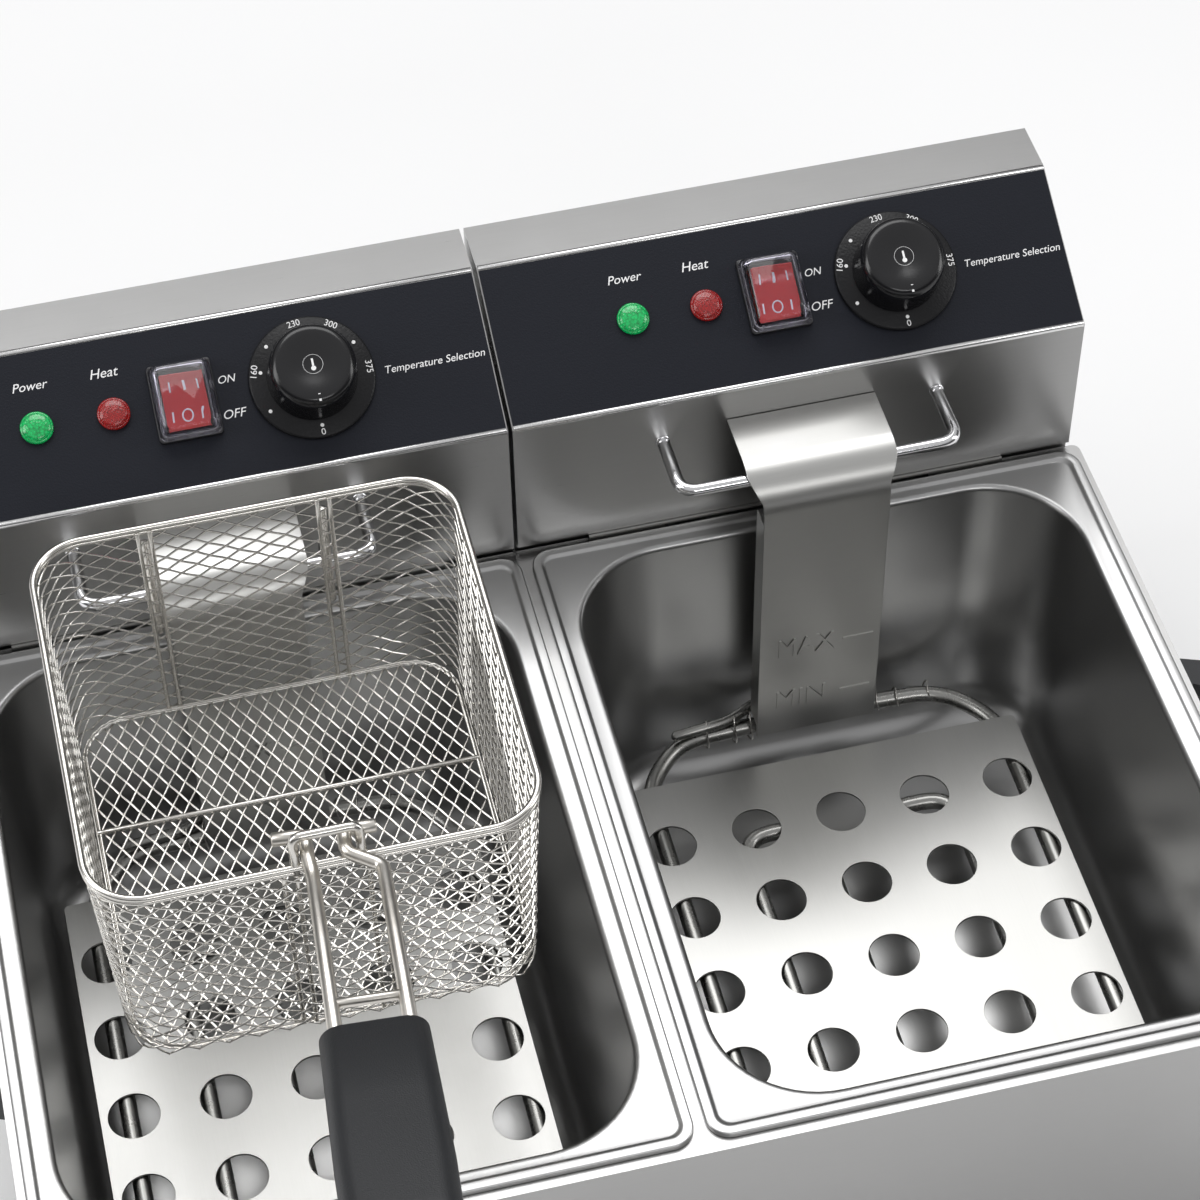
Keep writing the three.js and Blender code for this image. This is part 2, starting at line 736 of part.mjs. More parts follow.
// Element: risers behind the level plate, then five runs under the perforated cover.
function makeElement() {
  const shoulder = 22; // where each tube turns forward, inside the outer run
  const shoulderLong = 24;
  const half = [
    at(elementRiser, tubeInHead, tubeZ),
    at(elementRiser, riserY, tubeZ),
    at(elementRiser, riserY, -elementDepth),
    at(elementOuter - shoulder, riserY - 2, -elementDepth),
    at(elementOuter, riserY - 2 - shoulderLong, -elementDepth),
    at(elementOuter, -elementFront, -elementDepth),
    at(elementMiddle, -elementFront, -elementDepth),
    at(elementMiddle, -elementRear, -elementDepth),
    at(elementInner, -elementRear, -elementDepth),
    at(elementInner, -elementFront, -elementDepth),
  ];
  const mirrored = half.map((point) => at(-point.x, point.y, point.z)).reverse();
  return rod(roundedPath([...half, ...mirrored], elementBend, 3), elementRadius);
}

// Bulb: its capillary drops between the risers and the bulb lies on the element to the left.
function makeBulb() {
  const overElement = -elementDepth + elementRadius + bulbRadius + bulbOver;
  const lineY = riserY + bulbBehind;
  const bulbStart = elementRiser + 26;
  const bulbEnd = elementOuter - 18;
  const route = [
    at(0, tubeInHead, tubeZ),
    at(0, lineY, tubeZ),
    at(0, lineY, overElement),
    at(-elementRiser - 10, lineY, overElement),
    at(-bulbStart, lineY - 9, overElement),
    at(-bulbEnd, lineY - 12, overElement),
  ];
  return rod(roundedPath(route, bulbBend, 3), bulbRadius, 6);
}

function makeHanger() {
  const half = hangerSpan / 2;
  const route = [
    at(-half, -seatGap, 0),
    at(-half, -hangerReach, 0),
    at(half, -hangerReach, 0),
    at(half, -seatGap, 0),
  ];
  return rod(roundedPath(route, hangerBend, 4), hangerRod);
}

// Hook bracket: a strip under the head's face with two tabs that drop into the casing.
function makeHookBracket() {
  const top = faceBottomZ - seatGap;
  const low = casingTop - hookTabDrop;
  const frontY = tabRearY - steel;
  const strip = box([-hookSpan / 2, frontY, top - steel], [hookSpan / 2, lowerFrontY - seatGap, top]);
  const tabs = [-1, 1].map((end) => {
    const x = (end * (hookSpan - hookTabWidth)) / 2;
    return box([x - hookTabWidth / 2, frontY, low], [x + hookTabWidth / 2, tabRearY, top - steel / 2]);
  });
  return join(strip, ...tabs);
}

function makeSwitchBody() {
  const bezel = slab(roundedRect(switchWidth, switchTall, 2, 2), onPanel, onPanel + bezelThick);
  const behind = slab(roundedRect(bodyWidth, bodyTall, 1, 1), onPanel - switchDeep, onPanel + 1);
  const pocketOutline = roundedRect(pocketWidth, pocketTall, 0.5, 1);
  const pocket = slab(pocketOutline, onPanel - pocketDeep, onPanel + bezelThick + 1);
  return cut(join(bezel, behind), pocket);
}

// Rocker, drawn flat and turned about its pivot to the off position.
function makeRocker() {
  const endTop = 6;
  const endBottom = -2.6;
  const profile = [
    [-rockerHalf, endTop],
    [-rockerHalf, endBottom],
    [0, endBottom - 1.9],
    [rockerHalf, endBottom],
    [rockerHalf, endTop],
    [0, endTop - 2],
  ];
  return alongX(profile, rockerWidth).rotateX(THREE.MathUtils.degToRad(rockerTilt));
}

function makeSwitchCover() {
  const low = onPanel + bezelThick + seatGap;
  const high = low + coverShellHigh;
  const width = switchWidth - 1.2;
  const tall = switchTall - 1.2;
  const corner = 3;
  const wall = coverShellWall;
  const outer = slab(roundedRect(width, tall, corner, 2), low, high);
  const innerOutline = roundedRect(width - 2 * wall, tall - 2 * wall, corner - wall, 2);
  return cut(outer, slab(innerOutline, low - 1, high - wall));
}

const lampLong = 12; // stem behind the panel
const lampProfile = [
  [0, onPanel - lampLong],
  [lampStem, onPanel - lampLong],
  [lampStem, onPanel],
  [lampRadius, onPanel],
  [lampRadius, onPanel + 1.6],
  [lampRadius - 1, onPanel + 2.4],
  [lampRadius - 3, onPanel + 3.4],
  [0, onPanel + 3.9],
];

const dialProfile = [
  [shaftHole, onPanel],
  [dialRadius, onPanel],
  [dialRadius, onPanel + dialThick - 0.7],
  [dialRadius - 0.8, onPanel + dialThick],
  [shaftHole, onPanel + dialThick],
  [shaftHole, onPanel],
];

const knobSeat = onPanel + dialThick + seatGap;
const knobTop = knobSeat + knobHigh;
const knobBore = knobHigh * 0.6;
const knobProfile = [
  [0, knobSeat + knobBore],
  [shaftRadius + boreClearance, knobSeat + knobBore],
  [shaftRadius + boreClearance, knobSeat],
  [knobRadius, knobSeat],
  [knobRadius - 0.9, knobTop - 3.4],
  [knobRadius - 1.8, knobTop - 1.2],
  [knobRadius - 4, knobTop],
  [knobRadius - 6.5, knobTop - 0.7],
  [0, knobTop - 1.6],
];

const thermostatBore = 6;
const shaftBottom = insideSlope - thermostatBore + seatGap;
const shaftProfile = [
  [0, shaftBottom],
  [shaftRadius, shaftBottom],
  [shaftRadius, knobSeat + knobBore - seatGap],
  [0, knobSeat + knobBore - seatGap],
];
const thermostatProfile = [
  [0, insideSlope - thermostatLong],
  [thermostatRadius, insideSlope - thermostatLong],
  [thermostatRadius, insideSlope - 4],
  [thermostatRadius * 0.5, insideSlope],
  [shaftRadius + boreClearance, insideSlope],
  [shaftRadius + boreClearance, insideSlope - thermostatBore],
  [0, insideSlope - thermostatBore],
];

const coverPlateY = headRearY + seatGap; // rear cover's inner face
const glandInside = 8;
const glandFlange = 4;
const glandEnd = steel + 20;
const glandProfile = [
  [glandBore, -glandInside],
  [glandStem, -glandInside],
  [glandStem, steel + seatGap],
  [glandStem + glandFlange, steel + seatGap],
  [glandStem + glandFlange, steel + 5],
  [glandStem + 1, steel + 7],
  [glandBore + 3, glandEnd],
  [glandBore, glandEnd],
  [glandBore, -glandInside],
];
const resetInside = 3;
const resetProfile = [
  [0, -resetInside],
  [resetRadius, -resetInside],
  [resetRadius, steel + 4],
  [resetRadius - 1, steel + 5],
  [0, steel + 5],
];

const controlLooks = { power: material.green, heat: material.red };

function addHead(name, x) {
  const head = new THREE.Group();
  head.position.x = x;
  fryer.add(head);
  addPart(head, `head_housing_${name}`, makeHousing(), material.brushed);
  const coverMidZ = (headTopZ + headBottomZ) / 2;
  addPart(head, `rear_cover_${name}`, makeRearCover(), material.brushed, 0, coverPlateY, coverMidZ);
  addPart(head, `hook_bracket_${name}`, makeHookBracket(), material.brushed);
  addPart(head, `level_plate_${name}`, makeLevelPlate(), material.brushed, 0, 0, flangeZ);
  addPart(head, `heating_element_${name}`, makeElement(), material.element, 0, 0, flangeZ);
  addPart(head, `thermostat_bulb_${name}`, makeBulb(), material.element, 0, 0, flangeZ);
  addPart(head, `hanger_${name}`, makeHanger(), material.chrome, 0, 0, flangeZ + hangerZ);
  const block = new THREE.BoxGeometry(terminalLong, terminalDeep, terminalTall);
  const blockZ = headBottomZ + steel + seatGap + terminalTall / 2;
  addPart(head, `terminal_block_${name}`, block, material.inner, terminalX, terminalY, blockZ);
  const limiter = new THREE.BoxGeometry(cutoutSide, cutoutLong, cutoutTall);
  const limiterY = coverPlateY - cutoutBehind - cutoutLong / 2;
  addPart(head, `overheat_cutout_${name}`, limiter, material.inner, resetX, limiterY, flangeZ + resetZ);
  const gland = turned(glandProfile, 16).rotateX(-Math.PI / 2);
  addPart(head, `cable_gland_${name}`, gland, material.rubber, glandX, coverPlateY, flangeZ + glandZ);
  const reset = turned(resetProfile, 12).rotateX(-Math.PI / 2);
  addPart(head, `reset_button_${name}`, reset, material.red, resetX, coverPlateY, flangeZ + resetZ);

  const slope = new THREE.Group();
  slope.position.z = faceTopZ;
  slope.rotation.x = slopeAngle;
  head.add(slope);
  addPart(slope, `control_panel_${name}`, makePanel(), material.panel);
  for (const [lamp, lampPlace] of [["power", lampX], ["heat", heatLampX]]) {
    const lens = turned(lampProfile, 16);
    addPart(slope, `${lamp}_lamp_${name}`, lens, controlLooks[lamp], lampPlace, controlsUp);
  }
  addPart(slope, `switch_body_${name}`, makeSwitchBody(), material.black, switchX, controlsUp);
  addPart(slope, `rocker_${name}`, makeRocker(), material.red, switchX, controlsUp, onPanel - 2);
  addPart(slope, `switch_cover_${name}`, makeSwitchCover(), material.clear, switchX, controlsUp);
  addPart(slope, `dial_ring_${name}`, turned(dialProfile, 24), material.black, dialX, controlsUp);
  addPart(slope, `knob_${name}`, turned(knobProfile, 24), material.black, dialX, controlsUp);
  addPart(slope, `knob_shaft_${name}`, turned(shaftProfile, 12), material.steel, dialX, controlsUp);
  addPart(slope, `thermostat_${name}`, turned(thermostatProfile, 20), material.inner, dialX, controlsUp);
}

const headLeftX = -headX - headSetLeft;
const headRightX = headX - headSetLeft;
addHead("left", headLeftX);
addHead("right", headRightX);

// ---- Perforated covers: a folded plate that rests on the element ----

function makeElementCover() {
  const holes = [];
  const middleY = -(coverRear + coverFront) / 2;
  for (let row = 0; row < coverRows; row++) {
    for (let column = 0; column < coverColumns; column++) {
      const x = (column - (coverColumns - 1) / 2) * coverPitchX;
      holes.push(circle(coverHole, 10, x, -coverFirstRow - row * coverPitchY - middleY));
    }
  }
  const length = coverFront - coverRear;
  const plate = slab(roundedRect(coverWidth, length, 0.6, 1), -steel, 0, holes);
  const skirts = [-1, 1].map((side) => {
    const outside = (side * coverWidth) / 2;
    const inside = outside - side * steel;
    const low = [Math.min(outside, inside), -length / 2 + coverSkirtInset, -coverSkirt];
    return box(low, [Math.max(outside, inside), length / 2 - coverSkirtInset, -steel / 2]);
  });
  return join(plate, ...skirts).translate(0, middleY, 0);
}

for (const [name, x] of [["left", headLeftX], ["right", headRightX]]) {
  const coverPlace = [x + coverShift, 0, flangeZ - coverDepth];
  addPart(fryer, `element_cover_${name}`, makeElementCover(), material.brushed, ...coverPlace);
}

// ---- Basket, hung by two hooks on the left head's hanger ----

const basketX = headLeftX + basketShift;
const basketMidY = -(basketRear + basketFront) / 2;
const basketLong = basketFront - basketRear;

function basketRing(inset, radius, z) {
  return ring(basketWidth - 2 * inset, basketLong - 2 * inset, radius, z);
}

function makeBasketMesh() {
  const rings = [];
  const topZ = -rimWire - seatGap;
  const topInset = rimWire;
  const floorInset = topInset + basketDraft;
  const steps = 3;
  for (let i = 0; i <= steps; i++) {
    const angle = (i / steps) * (Math.PI / 2);
    const inset = floorInset + basketFillet * (1 - Math.sin(angle));
    const z = -basketDeep + basketFillet * (1 - Math.cos(angle));
    rings.push(basketRing(inset, basketCorner - inset / 2, z));
  }
  rings.push(basketRing(topInset, basketCorner - topInset, topZ));
  rings.push(basketRing(topInset + basketWall, basketCorner - topInset - basketWall, topZ));
  for (let i = steps; i >= 0; i--) {
    const angle = (i / steps) * (Math.PI / 2);
    const radius = basketFillet - basketWall;
    const inset = floorInset + basketWall + radius * (1 - Math.sin(angle));
    const z = -basketDeep + basketWall + radius * (1 - Math.cos(angle));
    rings.push(basketRing(inset, basketCorner - inset / 2, z));
  }
  return skin(rings);
}

function makeBasketRim() {
  const rings = [];
  const sides = 8;
  for (let k = 0; k < sides; k++) {
    const angle = (k * 2 * Math.PI) / sides;
    const inset = rimWire - rimWire * Math.cos(angle);
    rings.push(basketRing(inset, basketCorner - inset, rimWire * Math.sin(angle)));
  }
  const loop = skin(rings, true);
  const frontY = -basketLong / 2 + rimWire;
  const topY = frontY + stapleLean;
  const route = [
    at(stapleShift - stapleHalf, frontY, 0),
    at(stapleShift - stapleHalf, topY, stapleHigh),
    at(stapleShift + stapleHalf, topY, stapleHigh),
    at(stapleShift + stapleHalf, frontY, 0),
  ];
  return join(loop, rod(roundedPath(route, 4, 3), stapleWire));
}

// One hook: down the rear wall, welded low, over the hanger bar and down behind it.
function makeHook() {
  const wallY = -basketRear + hookWire + 0.4;
  const overZ = hangerZ + hangerRod + hookWire + hookOver;
  const reach = hangerRod + hookWire + hookClear;
  const elbowZ = overZ - 14; // where the wire leaves the wall
  const route = [
    at(0, wallY, basketRimZ - hookWeld),
    at(0, wallY, elbowZ),
    at(0, wallY + 2, elbowZ - 2),
    at(0, -hangerReach - reach, elbowZ + 4),
    at(0, -hangerReach - reach, overZ),
    at(0, -hangerReach + reach, overZ),
    at(0, -hangerReach + reach, overZ - hookDown),
  ];
  return rod(roundedPath(route, 3, 2), hookWire, 6);
}

addPart(fryer, "basket_mesh", makeBasketMesh(), material.wire, basketX, basketMidY, flangeZ + basketRimZ);
addPart(fryer, "basket_rim", makeBasketRim(), material.wire, basketX, basketMidY, flangeZ + basketRimZ);
addPart(fryer, "basket_hook_left", makeHook(), material.wire, headLeftX - hookOffset, 0, flangeZ);
addPart(fryer, "basket_hook_right", makeHook(), material.wire, headLeftX + hookOffset, 0, flangeZ);

// ---- Basket handle: two rods hooked behind the staple, a cross-bar and a grip ----

const handlePivotY = -basketFront + rimWire + stapleLean + pivotBehind;
const handle = new THREE.Group();
handle.position.set(basketX + stapleShift, handlePivotY, flangeZ + basketRimZ + pivotAbove);
handle.rotation.z = THREE.MathUtils.degToRad(rodYaw);
fryer.add(handle);

const rise = THREE.MathUtils.degToRad(rodRise);
const throughStaple = at(rodHalfInner, -10, -1);
const bendAt = at(0, -18, -2);
const alongRod = (x, distance) => {
  const forward = distance * Math.cos(rise);
  return at(x, bendAt.y - forward, bendAt.z + distance * Math.sin(rise));
};

function makeHandleFrame() {
  const sideRod = (side) => {
    const route = [
      at(side * (rodHalfInner + footRodReach), 0, 0),
      at(side * throughStaple.x, 0, 0),
      at(side * throughStaple.x, throughStaple.y, throughStaple.z),
      at(rodSideStep + side * rodHalf, bendAt.y, bendAt.z),
      alongRod(rodSideStep + side * rodHalf, rodLength),
    ];
    return rod(roundedPath(route, 3.5, 3), rodWire);
  };
  const barEnds = [-1, 1].map((side) => alongRod(rodSideStep + side * rodHalf, barAlong));
  return join(sideRod(-1), sideRod(1), rod(barEnds, barWire, 6));
}

function makeHandleGrip() {
  const outline = roundedRect(handleGripWide, handleGripThick, gripCorner, 3);
  const long = handleGripLong;
  // How far the outline grows at each place along the grip.
  const rings = [
    [-2, 0],
    [0, 2.5],
    [0.5, long * 0.35],
    [0.5, long * 0.75],
    [0, long - 3],
    [-3, long],
  ];
  const body = skin(
    rings.map(([grow, z]) => {
      const scaleX = (handleGripWide + 2 * grow) / handleGripWide;
      const scaleY = (handleGripThick + 2 * grow) / handleGripThick;
      return outline.map((point) => at(point.x * scaleX, point.y * scaleY, z));
    }),
  );
  const bores = [-1, 1].map((side) =>
    slab(circle(rodWire + boreRound, 10, side * rodHalf, 0), -1, rodInGrip + 1),
  );
  // The grip's length runs along the rods.
  const towards = new THREE.Matrix4().makeRotationX(Math.PI / 2 - rise);
  const start = alongRod(rodSideStep, rodLength - rodInGrip);
  return cut(body, ...bores).applyMatrix4(towards).translate(start.x, start.y, start.z);
}

addPart(handle, "handle_frame", makeHandleFrame(), material.wire);
addPart(handle, "handle_grip", makeHandleGrip(), material.black);

// ---- The object's origin: on the floor under the middle of its outline ----
const extent = new THREE.Box3().setFromObject(fryer);
fryer.position.set(-(extent.min.x + extent.max.x) / 2, -(extent.min.y + extent.max.y) / 2, -extent.min.z);

const fryerAtOrigin = new THREE.Group();
fryerAtOrigin.add(fryer);

export default fryerAtOrigin;
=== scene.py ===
import math

import bmesh
import bpy
from mathutils import Matrix, Vector


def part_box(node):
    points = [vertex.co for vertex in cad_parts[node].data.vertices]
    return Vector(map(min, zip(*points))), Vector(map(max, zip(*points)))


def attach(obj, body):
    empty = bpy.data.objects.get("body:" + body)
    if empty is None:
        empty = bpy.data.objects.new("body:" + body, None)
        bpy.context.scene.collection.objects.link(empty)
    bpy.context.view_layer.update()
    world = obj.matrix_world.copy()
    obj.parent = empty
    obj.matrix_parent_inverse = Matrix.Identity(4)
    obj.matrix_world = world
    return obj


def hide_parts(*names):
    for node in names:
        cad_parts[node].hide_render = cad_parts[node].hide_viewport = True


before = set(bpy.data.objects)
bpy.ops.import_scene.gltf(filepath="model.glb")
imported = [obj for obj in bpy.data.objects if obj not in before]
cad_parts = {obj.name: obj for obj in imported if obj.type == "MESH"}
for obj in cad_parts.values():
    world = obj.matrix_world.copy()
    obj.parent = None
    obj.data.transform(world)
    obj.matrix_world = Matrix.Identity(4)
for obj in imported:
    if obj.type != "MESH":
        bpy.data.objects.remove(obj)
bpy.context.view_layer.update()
print("frame loaded")

mm = 0.001
sides = ("left", "right")

# the frame's own landmarks that everything else hangs from
beadHigh = 1.2  # how far the bead stands above the pans' flange
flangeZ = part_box("pan_right")[1].z - beadHigh * mm
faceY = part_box("head_housing_right")[0].y
headX = {side: sum(corner.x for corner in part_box(f"head_housing_{side}")) / 2 for side in sides}
headHalf = (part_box("head_housing_right")[1].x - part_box("head_housing_right")[0].x) / 2


def onHead(side, x, y, z):
    # millimetres from the middle of a head's face, at the height of the flange
    return Vector((headX[side] + x * mm, faceY + y * mm, flangeZ + z * mm))


hanger = dict(
    span=129.1, reach=33.0, z=55.5, radius=3.0, bend=9.0, sunk=0.3,
    weld=((0, 0.1), (3.5, 0.1), (3.4, 0.3), (3.0, 0.8), (0, 0.8)),  # the bead round each root
)
slope = dict(rise=37.5, depth=68, faceTop=80, middle=40.5)
slopeAngle = math.atan2(slope["rise"], slope["depth"])


def onSlope(side, x, up, out=0.0):
    # a matrix that stands on the sloping panel: x across, up the slope, out along its normal
    foot = Matrix.Translation(onHead(side, 0, 0, slope["faceTop"]))
    return foot @ Matrix.Rotation(slopeAngle, 4, "X") @ Matrix.Translation(Vector((x, up, out)) * mm)


camera = dict(
    offset=(-0.1891, -0.9927, 1.1193),  # from the right head's left edge, face plane and flange
    right=(0.97274, -0.23063, -0.02405),
    up=(0.19093, 0.73777, 0.64748),
    back=(-0.13198, -0.63494, 0.76121),
    lens=97.74,
    shift=(0.0348, 0.0379),
    sensor=36,
    clip=(0.05, 30),
)


def makeCamera():
    data = bpy.data.cameras.new("camera")
    data.sensor_width = camera["sensor"]
    data.lens = camera["lens"]
    data.shift_x, data.shift_y = camera["shift"]
    data.clip_start, data.clip_end = camera["clip"]
    placed = bpy.data.objects.new("camera", data)
    axes = Matrix((camera["right"], camera["up"], camera["back"])).transposed().to_4x4()
    foot = Vector((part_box("head_housing_right")[0].x, faceY, flangeZ))
    placed.matrix_world = Matrix.Translation(foot + Vector(camera["offset"])) @ axes
    bpy.context.collection.objects.link(placed)
    bpy.context.scene.camera = placed


makeCamera()


def softbox(name, size, place, towards, power):
    data = bpy.data.lights.new(name, "AREA")
    data.shape = "RECTANGLE"
    data.size, data.size_y = size
    data.energy = power
    lamp = bpy.data.objects.new(name, data)
    lamp.location = place
    lamp.rotation_euler = (Vector(towards) - Vector(place)).to_track_quat("-Z", "Y").to_euler()
    bpy.context.collection.objects.link(lamp)


studio = dict(
    world=0.64,
    sky=((0.0, 0.10), (1.0, 1.0), (0.35, 0.16), (0.62, 0.85)),  # height and light, the ramp's ends first
    blue=1.01,
    boxes=[  # name, size, place, what it points at, watts
        ("overhead", (1.6, 1.0), (0.1, 0.9, 1.9), (0, 0.05, 0.2), 17),
        ("leftBox", (0.7, 1.6), (-1.7, 0.1, 1.2), (0, 0, 0.15), 13),
        ("rightBox", (0.5, 1.4), (1.8, -0.2, 0.9), (0, 0, 0.15), 8),
        ("frontBox", (1.2, 0.35), (0.2, -1.9, 1.5), (0, 0, 0.15), 6),
    ],
)


def makeStudio():
    world = bpy.data.worlds.new("studio")
    bpy.context.scene.world = world
    world.use_nodes = True
    tree = world.node_tree
    background = tree.nodes["Background"]
    background.inputs["Strength"].default_value = studio["world"]
    direction = tree.nodes.new("ShaderNodeTexCoord")
    height = tree.nodes.new("ShaderNodeSeparateXYZ")
    shade = tree.nodes.new("ShaderNodeValToRGB")
    for index, (place, light) in enumerate(studio["sky"]):
        stop = shade.color_ramp.elements[index] if index < 2 else shade.color_ramp.elements.new(place)
        stop.position = place
        stop.color = (light, light, light * studio["blue"], 1)
    tree.links.new(direction.outputs["Generated"], height.inputs[0])
    tree.links.new(height.outputs["Z"], shade.inputs[0])
    tree.links.new(shade.outputs[0], background.inputs["Color"])
    for name, size, place, towards, power in studio["boxes"]:
        softbox(name, size, place, towards, power)


makeStudio()
bpy.context.scene.view_settings.view_transform = "Standard"
print("camera and lights ready")


class Wave:
    # one output socket, with the operators that shader sums need
    def __init__(self, tree, socket):
        self.tree = tree
        self.socket = socket

    def maths(self, operation, first, second=None):
        node = self.tree.nodes.new("ShaderNodeMath")
        node.operation = operation
        for slotIndex, value in enumerate((first, second)):
            if value is None:
                continue
            if isinstance(value, Wave):
                self.tree.links.new(value.socket, node.inputs[slotIndex])
            else:
                node.inputs[slotIndex].default_value = value
        return Wave(self.tree, node.outputs[0])

    def __add__(self, other):
        return self.maths("ADD", self, other)

    def __radd__(self, other):
        return self.maths("ADD", other, self)

    def __sub__(self, other):
        return self.maths("SUBTRACT", self, other)

    def __rsub__(self, other):
        return self.maths("SUBTRACT", other, self)

    def __mul__(self, other):
        return self.maths("MULTIPLY", self, other)

    def __rmul__(self, other):
        return self.maths("MULTIPLY", other, self)

    def __truediv__(self, other):
        return self.maths("DIVIDE", self, other)

    def __rtruediv__(self, other):
        return self.maths("DIVIDE", other, self)

    def __abs__(self):
        return self.maths("ABSOLUTE", self)

    def over(self, edge):
        return self.maths("GREATER_THAN", self, edge)

    def atLeast(self, edge):
        return self.maths("MAXIMUM", self, edge)


class Finish:
    # a material on a Principled surface
    def __init__(self, name, **surface):
        self.material = bpy.data.materials.new(name)
        self.material.use_nodes = True
        self.tree = self.material.node_tree
        self.surface = self.tree.nodes["Principled BSDF"]
        for key, value in surface.items():
            spaced = "".join(" " + letter if letter.isupper() else letter for letter in key)
            self.feed(spaced.strip().title().replace("Ior", "IOR"), value)

    def feed(self, label, value):
        socket = self.surface.inputs[label]
        if isinstance(value, Wave):
            self.tree.links.new(value.socket, socket)
        elif isinstance(value, tuple) and len(value) == 3 and len(socket.default_value) == 4:
            socket.default_value = (*value, 1)
        else:
            socket.default_value = value

    def node(self, kind, settings=None, values=None, output=0):
        node = self.tree.nodes.new(kind)
        for key, value in (settings or {}).items():
            if key == "stops":
                ramp = node.color_ramp.elements
                for index, (place, colour) in enumerate(value):
                    stop = ramp[index] if index < 2 else ramp.new(place)
                    stop.position = place
                    stop.color = (*colour, 1)
            else:
                setattr(node, key, value)
        for key, value in (values or {}).items():
            socket = node.inputs[key]
            if isinstance(value, Wave):
                self.tree.links.new(value.socket, socket)
            else:
                socket.default_value = value
        return Wave(self.tree, node.outputs[output])

    def place(self, scale=(1, 1, 1)):
        spot = self.node("ShaderNodeTexCoord", output=3)  # object coordinates
        return self.node("ShaderNodeMapping", {}, {"Vector": spot, "Scale": scale})

    def noise(self, scale, detail=2.0, rough=0.5, stretch=(1, 1, 1)):
        values = {"Vector": self.place(stretch), "Scale": scale, "Detail": detail, "Roughness": rough}
        return self.node("ShaderNodeTexNoise", {}, values)

    def mix(self, factor, first, second):
        values = {0: factor, 6: (*first, 1) if isinstance(first, tuple) else first}
        values[7] = (*second, 1) if isinstance(second, tuple) else second
        return self.node("ShaderNodeMix", {"data_type": "RGBA"}, values, output=2)

    def bump(self, height, strength, distance):
        values = {"Height": height, "Strength": strength, "Distance": distance}
        return self.node("ShaderNodeBump", {}, values)


def brushedSteel(name, grey, roughness, along=(0.02, 1, 1), fine=2400.0, warm=0.0, paintedHighlight=None):
    # fine parallel scratches along one direction, with faint hand marks, and where asked a painted highlight
    steel = Finish(name, metallic=1.0)
    scratch = steel.noise(fine, 2.0, 0.5, along)
    cloud = steel.noise(14.0, 2.0)
    light = (grey + 0.03, grey + 0.028, grey + 0.024 - warm)
    dark = (grey - 0.03, grey - 0.032, grey - 0.036 - warm)
    colour = steel.mix(scratch * 0.5 + cloud * 0.5, dark, light)
    rough = roughness - 0.04 + scratch * 0.08 + (cloud - 0.5) * 0.05
    if paintedHighlight:
        # painted highlight: the mask lightens the base colour towards pale grey, and raises the roughness
        # there as well
        mark = paintedHighlight(steel)
        colour = steel.mix(mark * 0.75, colour, (0.80, 0.80, 0.80))
        rough = rough + mark * 0.12
    steel.feed("Base Color", colour)
    steel.feed("Roughness", rough)
    steel.feed("Normal", steel.bump(scratch, 0.03, 0.0001))
    return steel.material


# shape of the painted highlight fans above the hanger roots
fan = dict(start=3.5, spread=0.5, narrow=0.5, high=24.0, below=1.0, skin=1.0)


def paintedFanHighlights(steel):
    # painted highlight: pale fans above the roots of the hanger rods, standing in for the rods' reflection in
    # the face
    position = steel.node("ShaderNodeTexCoord", output=3)
    x, y, z = (steel.node("ShaderNodeSeparateXYZ", {}, {0: position}, index) for index in range(3))
    rise = (z - (flangeZ + hanger["z"] * mm)) / mm
    front = (faceY + fan["skin"] * mm - y).over(0.0)  # only the face's own skin
    total = 0.0
    for side in sides:
        for sign in (-1, 1):
            root = headX[side] + sign * hanger["span"] / 2 * mm
            across = abs(x - root) / mm
            spread = (rise * fan["spread"] + fan["start"]).atLeast(fan["narrow"])
            wedge = (1.0 - across / spread).atLeast(0.0)
            fade = (1.0 - rise / fan["high"]).atLeast(0.0)
            total = wedge * fade * rise.over(-fan["below"]) + total
    return total * front


def faceSteel():
    return brushedSteel("faceSteel", 0.43, 0.30, paintedHighlight=paintedFanHighlights)


def satinSteel(name, grey, roughness):
    # pressed and tumbled sheet, soft reflections and a fine even grain
    steel = Finish(name, metallic=1.0)
    grain = steel.noise(700.0, 1.0)
    cloud = steel.noise(9.0, 2.0, 0.5)
    steel.feed("Base Color", steel.mix(cloud, (grey - 0.03,) * 3, (grey + 0.04, grey + 0.04, grey + 0.035)))
    steel.feed("Roughness", roughness - 0.03 + cloud * 0.06)
    steel.feed("Normal", steel.bump(grain, 0.012, 0.0001))
    return steel.material


def wireSteel(name, bright, dull, roughness):
    # drawn nickel-plated wire, a little dull where it was handled
    wire = Finish(name, metallic=1.0)
    dulled = wire.noise(70.0, 3.0)
    fine = wire.noise(1500.0, 1.0)
    wire.feed("Base Color", wire.mix(dulled, dull, bright))
    wire.feed("Roughness", roughness + dulled * 0.12)
    wire.feed("Normal", wire.bump(fine, 0.08, 0.0001))
    return wire.material


def leatherFilm(name, colour, roughness, grain, depth):
    # plastic film with a fine leather grain
    film = Finish(name, ior=1.45, specularIorLevel=0.26)
    cellValues = {"Vector": film.place(), "Scale": grain, "Smoothness": 0.6}
    cells = film.node("ShaderNodeTexVoronoi", {"feature": "SMOOTH_F1"}, cellValues)
    wrinkle = film.noise(grain * 0.7, 3.0)
    cloud = film.noise(30.0, 2.0)
    lighter = tuple(value * 1.5 + 0.002 for value in colour)
    film.feed("Base Color", film.mix(wrinkle * 0.5 + cloud * 0.3, colour, lighter))
    film.feed("Roughness", roughness + cells * 0.12)
    film.feed("Normal", film.bump(cells * 0.6 + wrinkle * 0.6, 0.6, depth))
    return film.material


